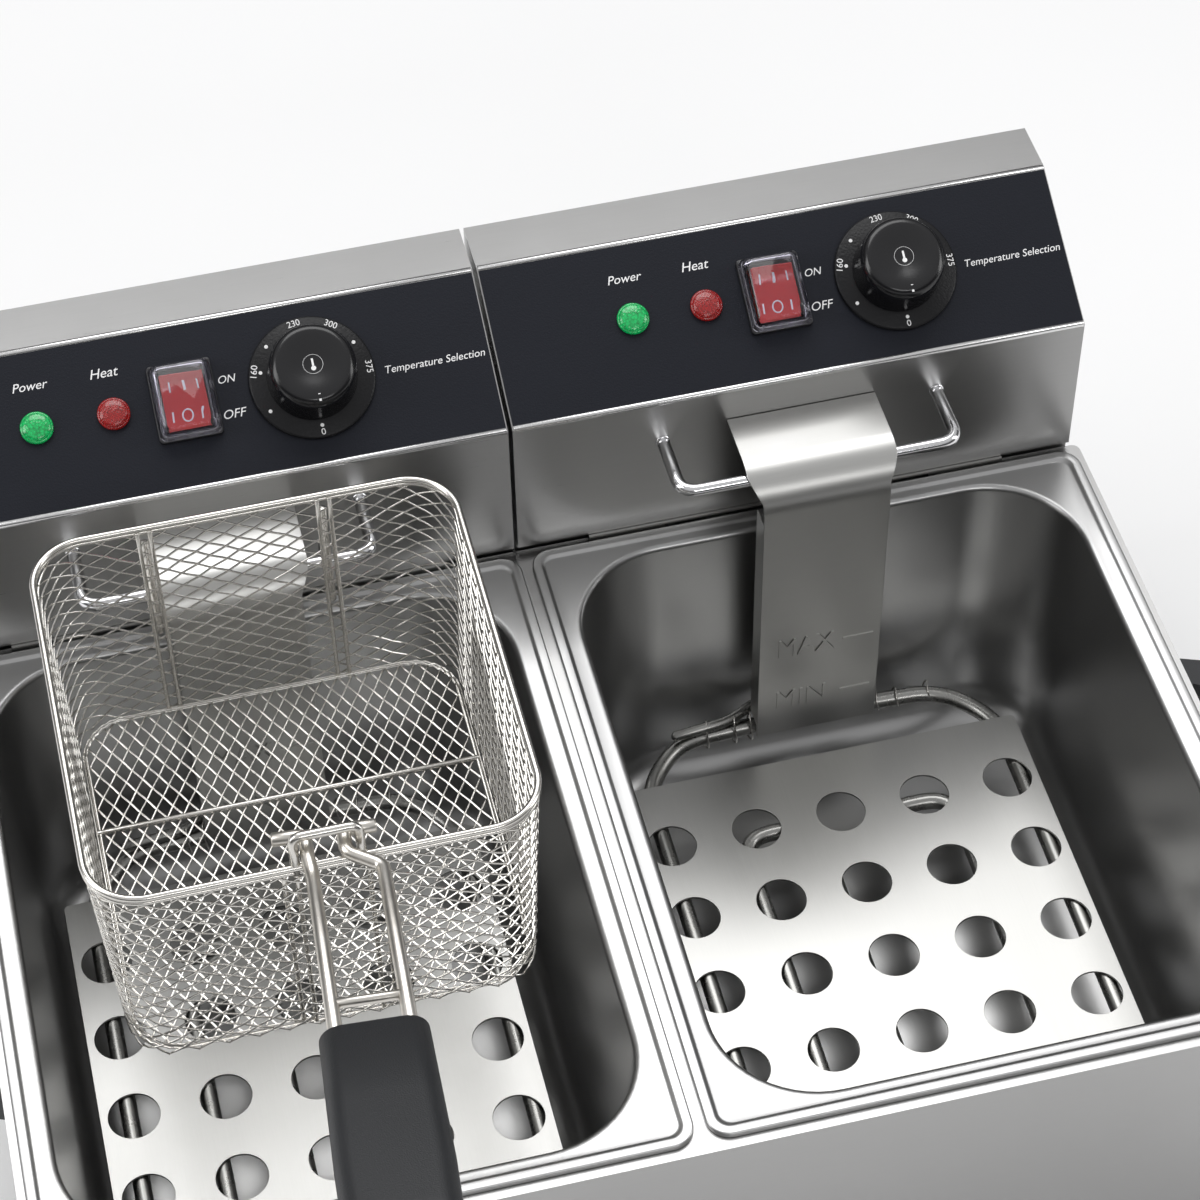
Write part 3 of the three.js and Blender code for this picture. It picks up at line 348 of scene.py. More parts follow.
def mouldedPlastic(name, colour, roughness, speckle=0.0, coat=0.0):
    # moulded plastic or rubber; speckle is how coarse its spark texture is
    plastic = Finish(name, ior=1.5, coatWeight=coat)
    texture = plastic.noise(1800.0, 2.0)
    cloud = plastic.noise(25.0, 2.0)
    lighter = tuple(value * 1.25 + 0.004 for value in colour)
    plastic.feed("Base Color", plastic.mix(cloud, colour, lighter))
    plastic.feed("Roughness", roughness + cloud * 0.08)
    plastic.feed("Normal", plastic.bump(texture, 0.1 + speckle, 0.0001 + speckle * 0.0004))
    return plastic.material


def lensPlastic(name, deep, bright, grain):
    # a coloured lens with prism grain behind a glossy front
    lens = Finish(name, ior=1.49, coatWeight=0.6, roughness=0.18)
    prism = lens.node("ShaderNodeTexVoronoi", {}, {"Vector": lens.place(), "Scale": grain})
    lens.feed("Base Color", lens.mix(prism, bright, deep))
    lens.feed("Emission Color", lens.mix(prism, bright, deep))
    lens.surface.inputs["Emission Strength"].default_value = 0.25
    lens.feed("Normal", lens.bump(prism, 0.5, 0.0003))
    return lens.material


finishes = dict(
    face=faceSteel(),
    casing=brushedSteel("casingSteel", 0.46, 0.32),
    # painted highlight: the panel bends are the face's own sheet, given a much lighter grey
    edge=brushedSteel("paintedHighlightBendSteel", 0.74, 0.22),
    plate=brushedSteel("plateSteel", 0.50, 0.34, warm=0.010),
    cover=brushedSteel("coverSteel", 0.41, 0.31, (1, 0.02, 1), warm=0.008),
    pan=satinSteel("panSteel", 0.46, 0.31),
    element=brushedSteel("elementSteel", 0.33, 0.28, (1, 1, 1), 200.0, warm=0.01),
    chrome=wireSteel("hangerChrome", (0.86, 0.86, 0.87), (0.72, 0.72, 0.73), 0.05),
    wire=wireSteel("basketNickel", (0.86, 0.84, 0.80), (0.62, 0.60, 0.56), 0.16),
    rods=wireSteel("handleRodSteel", (0.80, 0.78, 0.74), (0.60, 0.56, 0.50), 0.24),
    panel=leatherFilm("panelFilm", (0.0050, 0.0062, 0.0110), 0.46, 1300.0, 0.00016),
    dial=leatherFilm("dialPlastic", (0.008, 0.008, 0.009), 0.30, 900.0, 0.00022),
    knob=mouldedPlastic("knobPlastic", (0.004, 0.004, 0.005), 0.16),
    black=mouldedPlastic("switchPlastic", (0.010, 0.010, 0.012), 0.30, speckle=0.2),
    handle=mouldedPlastic("handlePlastic", (0.011, 0.012, 0.014), 0.42, speckle=0.4),
    rubber=mouldedPlastic("rubberBlack", (0.012, 0.012, 0.012), 0.65, speckle=0.6),
    inner=mouldedPlastic("innerPlastic", (0.62, 0.58, 0.48), 0.55),
    rocker=mouldedPlastic("rockerRed", (0.55, 0.015, 0.012), 0.22, coat=0.3),
    reset=mouldedPlastic("resetRed", (0.50, 0.02, 0.015), 0.30),
    print=mouldedPlastic("whitePrint", (0.80, 0.80, 0.80), 0.50),
    green=lensPlastic("greenLens", (0.0, 0.16, 0.035), (0.0, 0.50, 0.12), 900.0),
    red=lensPlastic("redLens", (0.08, 0.0, 0.0), (0.36, 0.006, 0.006), 1500.0),
)


def clearPlastic():
    # the hazy soft cover over a switch
    clear = Finish("clearCover", ior=1.4, transmissionWeight=1.0, roughness=0.04)
    haze = clear.noise(40.0, 2.0)
    clear.feed("Base Color", clear.mix(haze, (0.94, 0.93, 0.98), (0.82, 0.80, 0.92)))
    clear.feed("Roughness", 0.03 + haze * 0.06)
    return clear.material


finishes["clear"] = clearPlastic()
print("finishes ready")


def turnsOf(count):
    return [2 * math.pi * k / count for k in range(count)]


def quarter(steps):
    return [math.pi / 2 * k / steps for k in range(steps + 1)]


def finishPiece(name, bm, finish, body, nodes=(), sharp=35.0, bevel=0.0):
    # bm becomes a piece that rides on its body; sharp is in degrees, bevel in millimetres
    bmesh.ops.remove_doubles(bm, verts=bm.verts, dist=1e-7)
    bmesh.ops.recalc_face_normals(bm, faces=bm.faces)
    for face in bm.faces:
        face.smooth = True
    for edge in bm.edges:
        if len(edge.link_faces) == 2 and edge.calc_face_angle(0) > math.radians(sharp):
            edge.smooth = False
    mesh = bpy.data.meshes.new(name)
    bm.to_mesh(mesh)
    bm.free()
    piece = bpy.data.objects.new(name, mesh)
    bpy.context.collection.objects.link(piece)
    mesh.materials.append(finishes[finish])
    if bevel:
        roundEdges(piece, bevel)
    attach(piece, body)
    if nodes:
        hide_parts(*nodes)


def roundEdges(piece, width, angle=30.0, segments=3):
    bevel = piece.modifiers.new("edges", "BEVEL")
    bevel.width = width * mm
    bevel.segments = segments
    bevel.limit_method = "ANGLE"
    bevel.angle_limit = math.radians(angle)
    bevel.harden_normals = True
    bevel.miter_outer = "MITER_ARC"


def joinRings(bm, low, high):
    for i in range(len(low)):
        j = (i + 1) % len(low)
        bm.faces.new((low[i], low[j], high[j], high[i]))


def loft(bm, rings, wrap=False, caps=True):
    rows = [[bm.verts.new(point) for point in ring] for ring in rings]
    for low, high in list(zip(rows, rows[1:])) + ([(rows[-1], rows[0])] if wrap else []):
        joinRings(bm, low, high)
    if caps and not wrap:
        bm.faces.new(list(reversed(rows[0])))
        bm.faces.new(rows[-1])
    return rows


def closeShell(bm, outerRings, innerRings):
    # a cup with a roof: both skins close at the top and meet at the open rim
    outer = loft(bm, outerRings, caps=False)
    inner = loft(bm, innerRings, caps=False)
    bm.faces.new(outer[-1])
    bm.faces.new(inner[0])
    joinRings(bm, inner[-1], outer[0])


def roundedRect(width, depth, radius, steps=10):
    points = []
    for corner, (signX, signY) in enumerate(((1, 1), (-1, 1), (-1, -1), (1, -1))):
        for i in range(steps + 1):
            angle = (corner + i / steps) * math.pi / 2
            x = signX * (width / 2 - radius) + radius * math.cos(angle)
            y = signY * (depth / 2 - radius) + radius * math.sin(angle)
            points.append((x, y))
    return points


def flatRing(place, width, depth, radius, z, steps=10):
    return [place @ Vector((x * mm, y * mm, z * mm)) for x, y in roundedRect(width, depth, radius, steps)]


def bentPath(corners, bend, steps=8):
    # straight runs joined by soft bends
    points = [Vector(corners[0])]
    for before, corner, after in zip(corners, corners[1:], corners[2:]):
        before, corner, after = Vector(before), Vector(corner), Vector(after)
        reach = min(bend, (corner - before).length * 0.49, (after - corner).length * 0.49)
        start = corner + (before - corner).normalized() * reach
        end = corner + (after - corner).normalized() * reach
        for i in range(steps + 1):
            t = i / steps
            points.append(start * (1 - t) ** 2 + corner * 2 * t * (1 - t) + end * t**2)
    points.append(Vector(corners[-1]))
    return points


def rod(bm, points, radius, facets=16, closed=False, chamfer=0.25):
    # a round bar along the points; open ends are chamfered
    points = [Vector(point) for point in points]
    count = len(points)
    across = None
    rings = []
    aside = Vector((0.31, 0.17, 0.93))  # any direction that no rod runs along
    for i, point in enumerate(points):
        ahead = points[(i + 1) % count] if closed else points[min(i + 1, count - 1)]
        behind = points[i - 1] if closed else points[max(i - 1, 0)]
        along = (ahead - behind).normalized()
        if across is None:
            across = aside.cross(along)
        across = (across - along * across.dot(along)).normalized()
        other = along.cross(across)
        sizes = [(0, radius)]
        if not closed and i == 0:
            sizes = [(0, radius * (1 - chamfer)), (radius * chamfer, radius)]
        elif not closed and i == count - 1:
            sizes = [(-radius * chamfer, radius), (0, radius * (1 - chamfer))]
        for shift, size in sizes:
            middle = point + along * shift
            ring = []
            for angle in turnsOf(facets):
                ring.append(middle + across * size * math.cos(angle) + other * size * math.sin(angle))
            rings.append(ring)
    loft(bm, rings, wrap=closed)


def turned(bm, profile, place, steps=64):
    # a piece spun about its own Z from (radius, height) points
    rows = []
    for radius, height in profile:
        if radius < 1e-6:
            rows.append([bm.verts.new(place @ Vector((0, 0, height * mm)))])
            continue
        row = []
        for angle in turnsOf(steps):
            spot = Vector((radius * math.cos(angle), radius * math.sin(angle), height)) * mm
            row.append(bm.verts.new(place @ spot))
        rows.append(row)
    for low, high in zip(rows, rows[1:]):
        for k in range(steps):
            j = (k + 1) % steps
            if len(low) == 1 and len(high) == 1:
                continue
            if len(low) == 1:
                bm.faces.new((low[0], high[j], high[k]))
            elif len(high) == 1:
                bm.faces.new((low[k], low[j], high[0]))
            else:
                bm.faces.new((low[k], low[j], high[j], high[k]))


def block(bm, low, high, place):
    made = bmesh.ops.create_cube(bm, size=1.0)["verts"]
    size = Vector(high) - Vector(low)
    middle = (Vector(high) + Vector(low)) / 2
    for vert in made:
        spot = Vector((vert.co.x * size.x, vert.co.y * size.y, vert.co.z * size.z)) + middle
        vert.co = place @ (spot * mm)


def cutSheet(bm, outline, holes, thick, place, edge=0.12):
    # a flat sheet with cut-outs, its edges lightly broken
    curve = bpy.data.curves.new("sheetOutline", "CURVE")
    curve.dimensions = "2D"
    curve.fill_mode = "BOTH"
    curve.extrude = (thick / 2 - edge) * mm
    curve.bevel_depth = edge * mm
    curve.bevel_resolution = 1
    curve.offset = -edge * mm
    for points in [outline, *holes]:
        spline = curve.splines.new("POLY")
        spline.points.add(len(points) - 1)
        for spot, (x, y) in zip(spline.points, points):
            spot.co = (x * mm, y * mm, 0, 1)
        spline.use_cyclic_u = True
    takeCurve(bm, curve, place @ Matrix.Translation((0, 0, -thick / 2 * mm)))


def takeCurve(bm, curve, place):
    # a curve's or a text's mesh, added to bm
    holder = bpy.data.objects.new("holder", curve)
    bpy.context.collection.objects.link(holder)
    mesh = bpy.data.meshes.new_from_object(holder.evaluated_get(bpy.context.evaluated_depsgraph_get()))
    mesh.transform(place)
    bm.from_mesh(mesh)
    bpy.data.objects.remove(holder)
    bpy.data.curves.remove(curve)
    bpy.data.meshes.remove(mesh)


def circle(radius, x=0.0, y=0.0, steps=40):
    return [(x + radius * math.cos(a), y + radius * math.sin(a)) for a in turnsOf(steps)]


def ringOf(place, width, depth, z, steps):
    # an oval of points that a thin wire or a line follows
    return [place @ (Vector((width * math.cos(a), depth * math.sin(a), z)) * mm) for a in turnsOf(steps)]


def lettering(bm, words, width, place, slant=0.0, thick=0.06, height=None):
    # a word as thin raised letters, scaled to the width it has on the panel
    text = bpy.data.curves.new("lettering", "FONT")
    text.body = words
    text.size = 1.0
    text.shear = slant
    text.align_x = "CENTER"
    text.align_y = "CENTER"
    text.resolution_u = 4
    sample = bpy.data.objects.new("sample", text)
    bpy.context.collection.objects.link(sample)
    bpy.context.view_layer.update()
    size = sample.dimensions.copy()
    bpy.data.objects.remove(sample)
    scaleX = width * mm / size.x
    scaleY = scaleX if height is None else height * mm / size.y
    text.extrude = thick * mm / 2
    takeCurve(bm, text, place @ Matrix.Diagonal((scaleX, scaleY, 1, 1)))


pan = dict(
    width=265, depth=325, well=150, wall=1.2, flangeCorner=10, lipSide=12.5, lipEnd=10,
    bead=6, beadEdge=0.8, beadSlope=2.2, beadCorner=6,
    corner=46, draft=9, fillet=20, throat=2, throatDrop=3, mouth=3.0, mouthOut=1.4, steps=14,
)


def makePan(side):
    low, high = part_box(f"pan_{side}")
    place = Matrix.Translation(((low.x + high.x) / 2, (low.y + high.y) / 2, flangeZ))
    wellWide = pan["width"] - 2 * pan["lipSide"]
    wellLong = pan["depth"] - 2 * pan["lipEnd"]

    def wellRing(inset, z):
        wide, long = wellWide - 2 * inset, wellLong - 2 * inset
        return flatRing(place, wide, long, pan["corner"] - inset, z, pan["steps"])

    def flangeRing(inset, z, corner=None):
        radius = pan["flangeCorner"] - inset if corner is None else corner
        return flatRing(place, pan["width"] - 2 * inset, pan["depth"] - 2 * inset, radius, z, pan["steps"])

    def fillet(out):
        # the rounded edge of the floor, moved out by the thickness of the wall
        rings = []
        for angle in quarter(10):
            inset = pan["draft"] + pan["fillet"] * (1 - math.sin(angle)) - out
            z = -pan["well"] + pan["fillet"] * (1 - math.cos(angle)) - out * math.cos(angle)
            rings.append(wellRing(inset, z))
        return rings

    wall, edge, slopeIn, mouth = pan["wall"], pan["beadEdge"], pan["beadSlope"], pan["mouth"]
    rings = fillet(wall)
    rings.append(wellRing(pan["throat"] - wall, -pan["throatDrop"] - wall))
    rings.append(wellRing(-wall, -wall))
    rings.append(flangeRing(0, -wall))
    rings.append(flangeRing(0, beadHigh - edge - 0.1))
    for angle in quarter(4)[1:]:
        rings.append(flangeRing(edge * (1 - math.cos(angle)), beadHigh - edge + edge * math.sin(angle)))
    for i in range(5):  # the bead falls to the flange in a soft S
        t = i / 4
        fall = beadHigh * (0.5 + 0.5 * math.cos(math.pi * t))
        rings.append(flangeRing(pan["bead"] - slopeIn + t * slopeIn, fall, pan["beadCorner"]))
    rings.append(wellRing(-pan["mouthOut"] - 0.2, 0))
    for angle in quarter(6)[1:]:
        rings.append(wellRing(-pan["mouthOut"] + mouth * math.sin(angle), -mouth * (1 - math.cos(angle))))
    rings += reversed(fillet(0))
    bm = bmesh.new()
    loft(bm, rings)
    finishPiece(f"pan_{side}_pressed", bm, "pan", "root", [f"pan_{side}"], 50)


for side in sides:
    makePan(side)
print("pans ready")

carried = dict(  # finish, bevel, angle that the bevel starts at, angle that stays sharp
    body_casing=("casing", 0.6),
    base_plate=("casing", 0.3),
)
carriedPairs = dict(
    head_housing=("face", 0.5, 20.0, 15.0),
    rear_cover=("casing", 0.3),
    hook_bracket=("plate", 0.3),
    control_panel=("panel", 0.15),
    side_handle=("handle", 3.0, 40.0),
    thermostat=("inner", 0.3),
    terminal_block=("inner", 1.0),
    overheat_cutout=("inner",),
    knob_shaft=("chrome", 0.2),
    reset_button=("reset",),
    cable_gland=("rubber", 0.5),
    foot_front=("rubber", 0.6),
    foot_rear=("rubber", 0.6),
)


def carryOver(node, finish, bevel=0.0, angle=30.0, sharp=40.0):
    # a CAD node keeps its own mesh and gets a finish and softer edges
    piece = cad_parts[node]
    piece.data.materials.clear()
    piece.data.materials.append(finishes[finish])
    piece.data.shade_smooth()
    piece.data.set_sharp_from_angle(angle=math.radians(sharp))
    if bevel:
        roundEdges(piece, bevel, angle)


for node, look in carried.items():
    carryOver(node, *look)
for side in sides:
    for node, look in carriedPairs.items():
        carryOver(f"{node}_{side}", *look)
print("carried-over nodes finished")

panelBend = dict(radius=1.7, proud=0.35, over=0.9, tuck=0.55, ends=0.6)


def makeBends(side):
    # rounded bends of the sheet below and above the panel film; their steel is a lighter copy of the face
    # steel, a painted highlight
    half = headHalf / mm - panelBend["ends"]
    out = panelBend["proud"] + panelBend["over"] - panelBend["radius"]
    tuck = panelBend["radius"] * panelBend["tuck"]
    bm = bmesh.new()
    for up in (tuck, math.hypot(slope["rise"], slope["depth"]) - tuck):
        route = [onSlope(side, x, up, out) @ Vector() for x in (-half, half)]
        rod(bm, route, panelBend["radius"] * mm, 20, chamfer=0.05)
    finishPiece(f"panel_bends_{side}", bm, "edge", f"head_{side}", (), 60)


for side in sides:
    makeBends(side)


def makeHanger(side):
    half, reach, sunk = hanger["span"] / 2, hanger["reach"], hanger["sunk"]
    corners = [(-half, -sunk), (-half, -reach), (half, -reach), (half, -sunk)]
    route = bentPath([onHead(side, x, y, hanger["z"]) for x, y in corners], hanger["bend"] * mm, 10)
    bm = bmesh.new()
    rod(bm, route, hanger["radius"] * mm, 24, chamfer=0.02)
    for x in (-half, half):
        root = Matrix.Translation(onHead(side, x, -0.1, hanger["z"])) @ Matrix.Rotation(math.pi / 2, 4, "X")
        turned(bm, hanger["weld"], root, 24)
    finishPiece(f"hanger_{side}_rod", bm, "chrome", f"head_{side}", [f"hanger_{side}"], 60)


plate = dict(
    topWidth=69.7, width=59.0, topZ=62.2, reach=46.0, bend=20.0, bottom=113.0, ear=12.0, thick=1.2, sunk=0.3,
    shoulder=2.4, neck=0.66, rows=(30.0, 10.0, -40.0, -80.0), earTop=36, earBottom=-106, earBack=0.6,
    marks=(("MAX", -7.2, -51.4, 27.0), ("MIN", -8.3, -89.0, 24.0)), markHigh=12.0, markThick=0.9, markOut=0.2,
    dashX=18.5, dash=(7.4, 0.4, 0.7),
)


def makeLevelPlate(side):
    thick, bend, reach = plate["thick"], plate["bend"], plate["reach"]
    centreY, centreZ = bend - reach, plate["topZ"] - bend
    line = [((-plate["sunk"], plate["topZ"]), (-plate["sunk"], plate["topZ"] - thick))]
    for turn in quarter(12):
        spots = []
        for radius in (bend, bend - thick):
            spots.append((centreY - radius * math.sin(turn), centreZ + radius * math.cos(turn)))
        line.append(tuple(spots))
    for z in (*plate["rows"], -plate["bottom"]):
        line.append(((-reach, z), (-reach + thick, z)))

    def halfAt(z):
        # the sheet narrows over its bend
        shoulder, neck = plate["topZ"] - plate["shoulder"], plate["topZ"] - bend * plate["neck"]
        share = min(max((shoulder - z) / (shoulder - neck), 0), 1)
        return (plate["topWidth"] + (plate["width"] - plate["topWidth"]) * share) / 2

    rings = []
    for outer, inner in line:
        half = halfAt(outer[1])
        ring = [(-half, *outer), (half, *outer), (half, *inner), (-half, *inner)]
        rings.append([onHead(side, *spot) for spot in ring])
    bm = bmesh.new()
    loft(bm, rings)
    place = Matrix.Translation(onHead(side, 0, 0, 0))
    for sign in (-1, 1):
        edges = sorted((sign * plate["width"] / 2, sign * (plate["width"] / 2 - thick)))
        low = (edges[0], -reach + plate["earBack"], plate["earBottom"])
        block(bm, low, (edges[1], -reach + plate["ear"], plate["earTop"]), place)
    finishPiece(
        f"level_plate_{side}_sheet", bm, "plate", f"head_{side}",
        [f"level_plate_{side}"], 40, 0.25,
    )
    marks = bmesh.new()
    upright = Matrix.Rotation(math.pi / 2, 4, "X")
    markY = -reach - plate["markOut"]
    long, deep, high = plate["dash"]
    for words, x, z, wide in plate["marks"]:
        face = Matrix.Translation(onHead(side, x, markY, z)) @ upright
        lettering(marks, words, wide, face, thick=plate["markThick"], height=plate["markHigh"])
        dash = Matrix.Translation(onHead(side, plate["dashX"], markY, z))
        block(marks, (-long, -deep, -high), (long, deep, high), dash)
    finishPiece(f"level_marks_{side}", marks, "plate", f"head_{side}", (), 40)


element = dict(
    radius=4.0, riser=14.0, riserY=-34.0, tubeZ=47.9, depth=118.5, outer=88.0, middle=52.0, inner=16.0,
    front=285.0, rear=100.0, bend=15.0, insideHead=14.0, shoulder=22.0, shoulderY=26.0,
)
bulb = dict(
    radius=2.6, clear=1.0, behind=8.0, bend=8.0,
    elbow=10, bulbStart=26, startY=9, bulbEnd=18, endY=12,  # past the riser, and short of the outer tube
)
ties = dict(
    wire=0.45, radius=4.8, skew=0.6, back=1.2, lift=1.0,
    bulbSide=(30, 38, 52), farSide=(34, 44, 60), tall=1.9,  # tall: a tie that also holds the bulb
)


def makeElement(side):
    e = element
    low = -e["depth"]
    half = [
        (e["riser"], e["insideHead"], e["tubeZ"]),
        (e["riser"], e["riserY"], e["tubeZ"]),
        (e["riser"], e["riserY"], low),
        (e["outer"] - e["shoulder"], e["riserY"] - 2, low),
        (e["outer"], e["riserY"] - e["shoulderY"], low),
        (e["outer"], -e["front"], low),
        (e["middle"], -e["front"], low),
        (e["middle"], -e["rear"], low),
        (e["inner"], -e["rear"], low),
        (e["inner"], -e["front"], low),
    ]
    corners = half + [(-x, y, z) for x, y, z in reversed(half)]
    bm = bmesh.new()
    route = bentPath([onHead(side, *corner) for corner in corners], e["bend"] * mm, 8)
    rod(bm, route, e["radius"] * mm, 20)
    finishPiece(
        f"heating_element_{side}_tube", bm, "element", f"head_{side}",
        [f"heating_element_{side}"], 60,
    )


def makeBulb(side):
    # the capillary comes out between the risers and its bulb lies on the element
    over = -element["depth"] + element["radius"] + bulb["radius"] + bulb["clear"]
    lineY = element["riserY"] + bulb["behind"]
    corners = [
        (0, element["insideHead"], element["tubeZ"]),
        (0, lineY, element["tubeZ"]),
        (0, lineY, over),
        (-element["riser"] - bulb["elbow"], lineY, over),
        (-element["riser"] - bulb["bulbStart"], lineY - bulb["startY"], over),
        (-element["outer"] + bulb["bulbEnd"], lineY - bulb["endY"], over),
    ]
    bm = bmesh.new()
    route = bentPath([onHead(side, *corner) for corner in corners], bulb["bend"] * mm, 8)
    rod(bm, route, bulb["radius"] * mm, 16, chamfer=0.6)
    finishPiece(
        f"thermostat_bulb_{side}_tube", bm, "element", f"head_{side}",
        [f"thermostat_bulb_{side}"], 60,
    )


def makeTies(side):
    # thin wire wound round the element, and round the bulb too on its side
    bm = bmesh.new()
    y, z = element["riserY"] - ties["back"], -element["depth"] + ties["lift"]
    for sign, places, tall in ((-1, ties["bulbSide"], ties["tall"]), (1, ties["farSide"], 1.0)):
        for x in places:
            middle = onHead(side, sign * x, y, z)
            ring = []
            for a in turnsOf(24):
                across, up = ties["radius"] * math.cos(a), ties["radius"] * tall * math.sin(a)
                ring.append(middle + Vector((ties["skew"] * math.sin(2 * a), across, up)) * mm)
            rod(bm, ring, ties["wire"] * mm, 8, closed=True)
    finishPiece(f"wire_ties_{side}", bm, "wire", f"head_{side}", (), 60)


cover = dict(
    columns=5, rows=5, hole=11.7, sideMargin=15.2, frontMargin=19.4, rearMargin=36.2, corner=2.5,
    skirt=10, thick=1.2, bend=1.3, ends=3,
)


def makeCover(side):
    low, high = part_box(f"element_cover_{side}")
    wide, long = (high.x - low.x) / mm, (high.y - low.y) / mm
    place = Matrix.Translation(((low.x + high.x) / 2, (low.y + high.y) / 2, high.z))
    pitchX = (wide - 2 * cover["sideMargin"]) / (cover["columns"] - 1)
    pitchY = (long - cover["frontMargin"] - cover["rearMargin"]) / (cover["rows"] - 1)
    holes = []
    for row in range(cover["rows"]):
        y = long / 2 - cover["rearMargin"] - row * pitchY
        for column in range(cover["columns"]):
            holes.append(circle(cover["hole"], (column - (cover["columns"] - 1) / 2) * pitchX, y))
    bm = bmesh.new()
    cutSheet(bm, roundedRect(wide - 0.2, long, cover["corner"], 4), holes, cover["thick"], place)
    bend, skirt = cover["bend"], cover["skirt"]
    for sign in (-1, 1):
        outer, inner = sign * wide / 2, sign * (wide / 2 - cover["thick"])
        # the folded skirt, its bend rounded over
        ring = [(outer, -skirt), (outer, -bend), (outer - sign * 0.4, -0.4), (outer - sign * bend, 0.0)]
        ring += [(inner - sign * 0.6, -1.0), (inner, -skirt)]
        rings = []
        for y in (-long / 2 + cover["ends"], long / 2 - cover["ends"]):
            rings.append([place @ (Vector((x, y, z)) * mm) for x, z in ring])
        loft(bm, rings)
    finishPiece(
        f"element_cover_{side}_sheet", bm, "cover", f"cover_{side}",
        [f"element_cover_{side}"], 12,
    )


for side in sides:
    makeHanger(side)
    makeLevelPlate(side)
    makeElement(side)
    makeBulb(side)
    makeTies(side)
    makeCover(side)
print("hangers, level plates, elements and covers ready")

controls = dict(seat=1.1, powerX=-69.5, heatX=-35.5, switchX=-3.9, dialX=53.1)  # seat: the film's front
lampLens = dict(radius=7.3, stem=4.2, behind=12, rim=1.4, dome=1.9)
switch = dict(wide=28.7, tall=35.8, bezel=2.2, bodyIn=4.2, behind=24, pocket=9.5, roomX=1.8, roomY=2.8)
rocker = dict(
    wide=19.2, half=12.2, tilt=10.0, axis=-2, face=4.2, rise=1.8, power=1.6, dish=0.5,
    edge=-2.6, keel=-4.5, markY=6.4, markOut=0.08, bar=0.55, ring=2.1, ringWire=0.35,
    strokeX=6.0, stroke=0.35, long=2.6, thin=0.05,
)
dial = dict(radius=28.2, thick=2.2, bore=5.0, gap=0.3)
knob = dict(radius=20.15, high=20.0, bore=3.4, boreDeep=12, shoulder=5, taper=0.9, corner=4.2, dish=1.7)
thermometer = dict(
    ring=4.4, wire=0.3, out=0.08, low=(-0.45, -1.0, -0.05), high=(0.45, 2.6, 0.12), ballY=-1.8,
    ball=((0, -0.05), (1.1, -0.05), (1.1, 0.12), (0, 0.12)),
)
pointer = dict(y=-15.6, sunk=0.28, lean=0.12, half=Vector((0.5, 1.7, 0.1)))
knobSeat = controls["seat"] + dial["thick"] + dial["gap"]
knobTop = knobSeat + knob["high"]


def makeLamp(side, name, x, finish):
    place = onSlope(side, x, slope["middle"])
    seat, radius = controls["seat"], lampLens["radius"]
    stem, back, rim = lampLens["stem"], seat - lampLens["behind"], seat + lampLens["rim"]
    profile = [(0, back), (stem, back), (stem, seat), (radius - 0.2, seat), (radius, seat + 0.3)]
    profile += [(radius, rim), (radius - 0.4, rim + 0.5)]
    for angle in quarter(7):  # the domed front
        domeZ = rim + 0.6 + lampLens["dome"] * math.sin(angle)
        profile.append((max((radius - 0.8) * math.cos(angle), 0), domeZ))
    bm = bmesh.new()
    turned(bm, profile, place, 48)
    finishPiece(f"{name}_lamp_{side}_lens", bm, finish, f"head_{side}", [f"{name}_lamp_{side}"], 50)


def makeSwitchBody(side, place):
    seat = controls["seat"]
    front = seat + switch["bezel"]
    wide, tall = switch["wide"], switch["tall"]
    pocketWide, pocketTall = rocker["wide"] + switch["roomX"], 2 * rocker["half"] + switch["roomY"]
    sections = [  # width, height, corner radius, how far out
        (wide - switch["bodyIn"], tall - switch["bodyIn"], 1, seat - switch["behind"]),
        (wide - switch["bodyIn"], tall - switch["bodyIn"], 1, seat),
        (wide, tall, 2, seat),
        (wide, tall, 2, front - 0.8),
        (wide - 0.5, tall - 0.5, 1.8, front - 0.2),
        (wide - 1.4, tall - 1.4, 1.5, front),
        (pocketWide + 0.6, pocketTall + 0.6, 0.8, front),
        (pocketWide, pocketTall, 0.5, front - 0.4),
        (pocketWide, pocketTall, 0.5, seat - switch["pocket"]),
    ]
    bm = bmesh.new()
    loft(bm, [flatRing(place, *section, 4) for section in sections])
    finishPiece(
        f"switch_body_{side}_frame", bm, "black", f"head_{side}",
        [f"switch_body_{side}"], 30,
    )


def rockerFace(y):
    # height of the dished face, and the slope of its rise for the marks
    share, half = abs(y) / rocker["half"], rocker["half"]
    height = rocker["face"] + rocker["rise"] * share ** rocker["power"]
    height = height - rocker["dish"] * math.sin(math.pi * share)
    climb = rocker["rise"] * rocker["power"] * share ** (rocker["power"] - 1) / half
    dip = rocker["dish"] * math.pi / half * math.cos(math.pi * share)
    return height, math.atan(climb - dip)


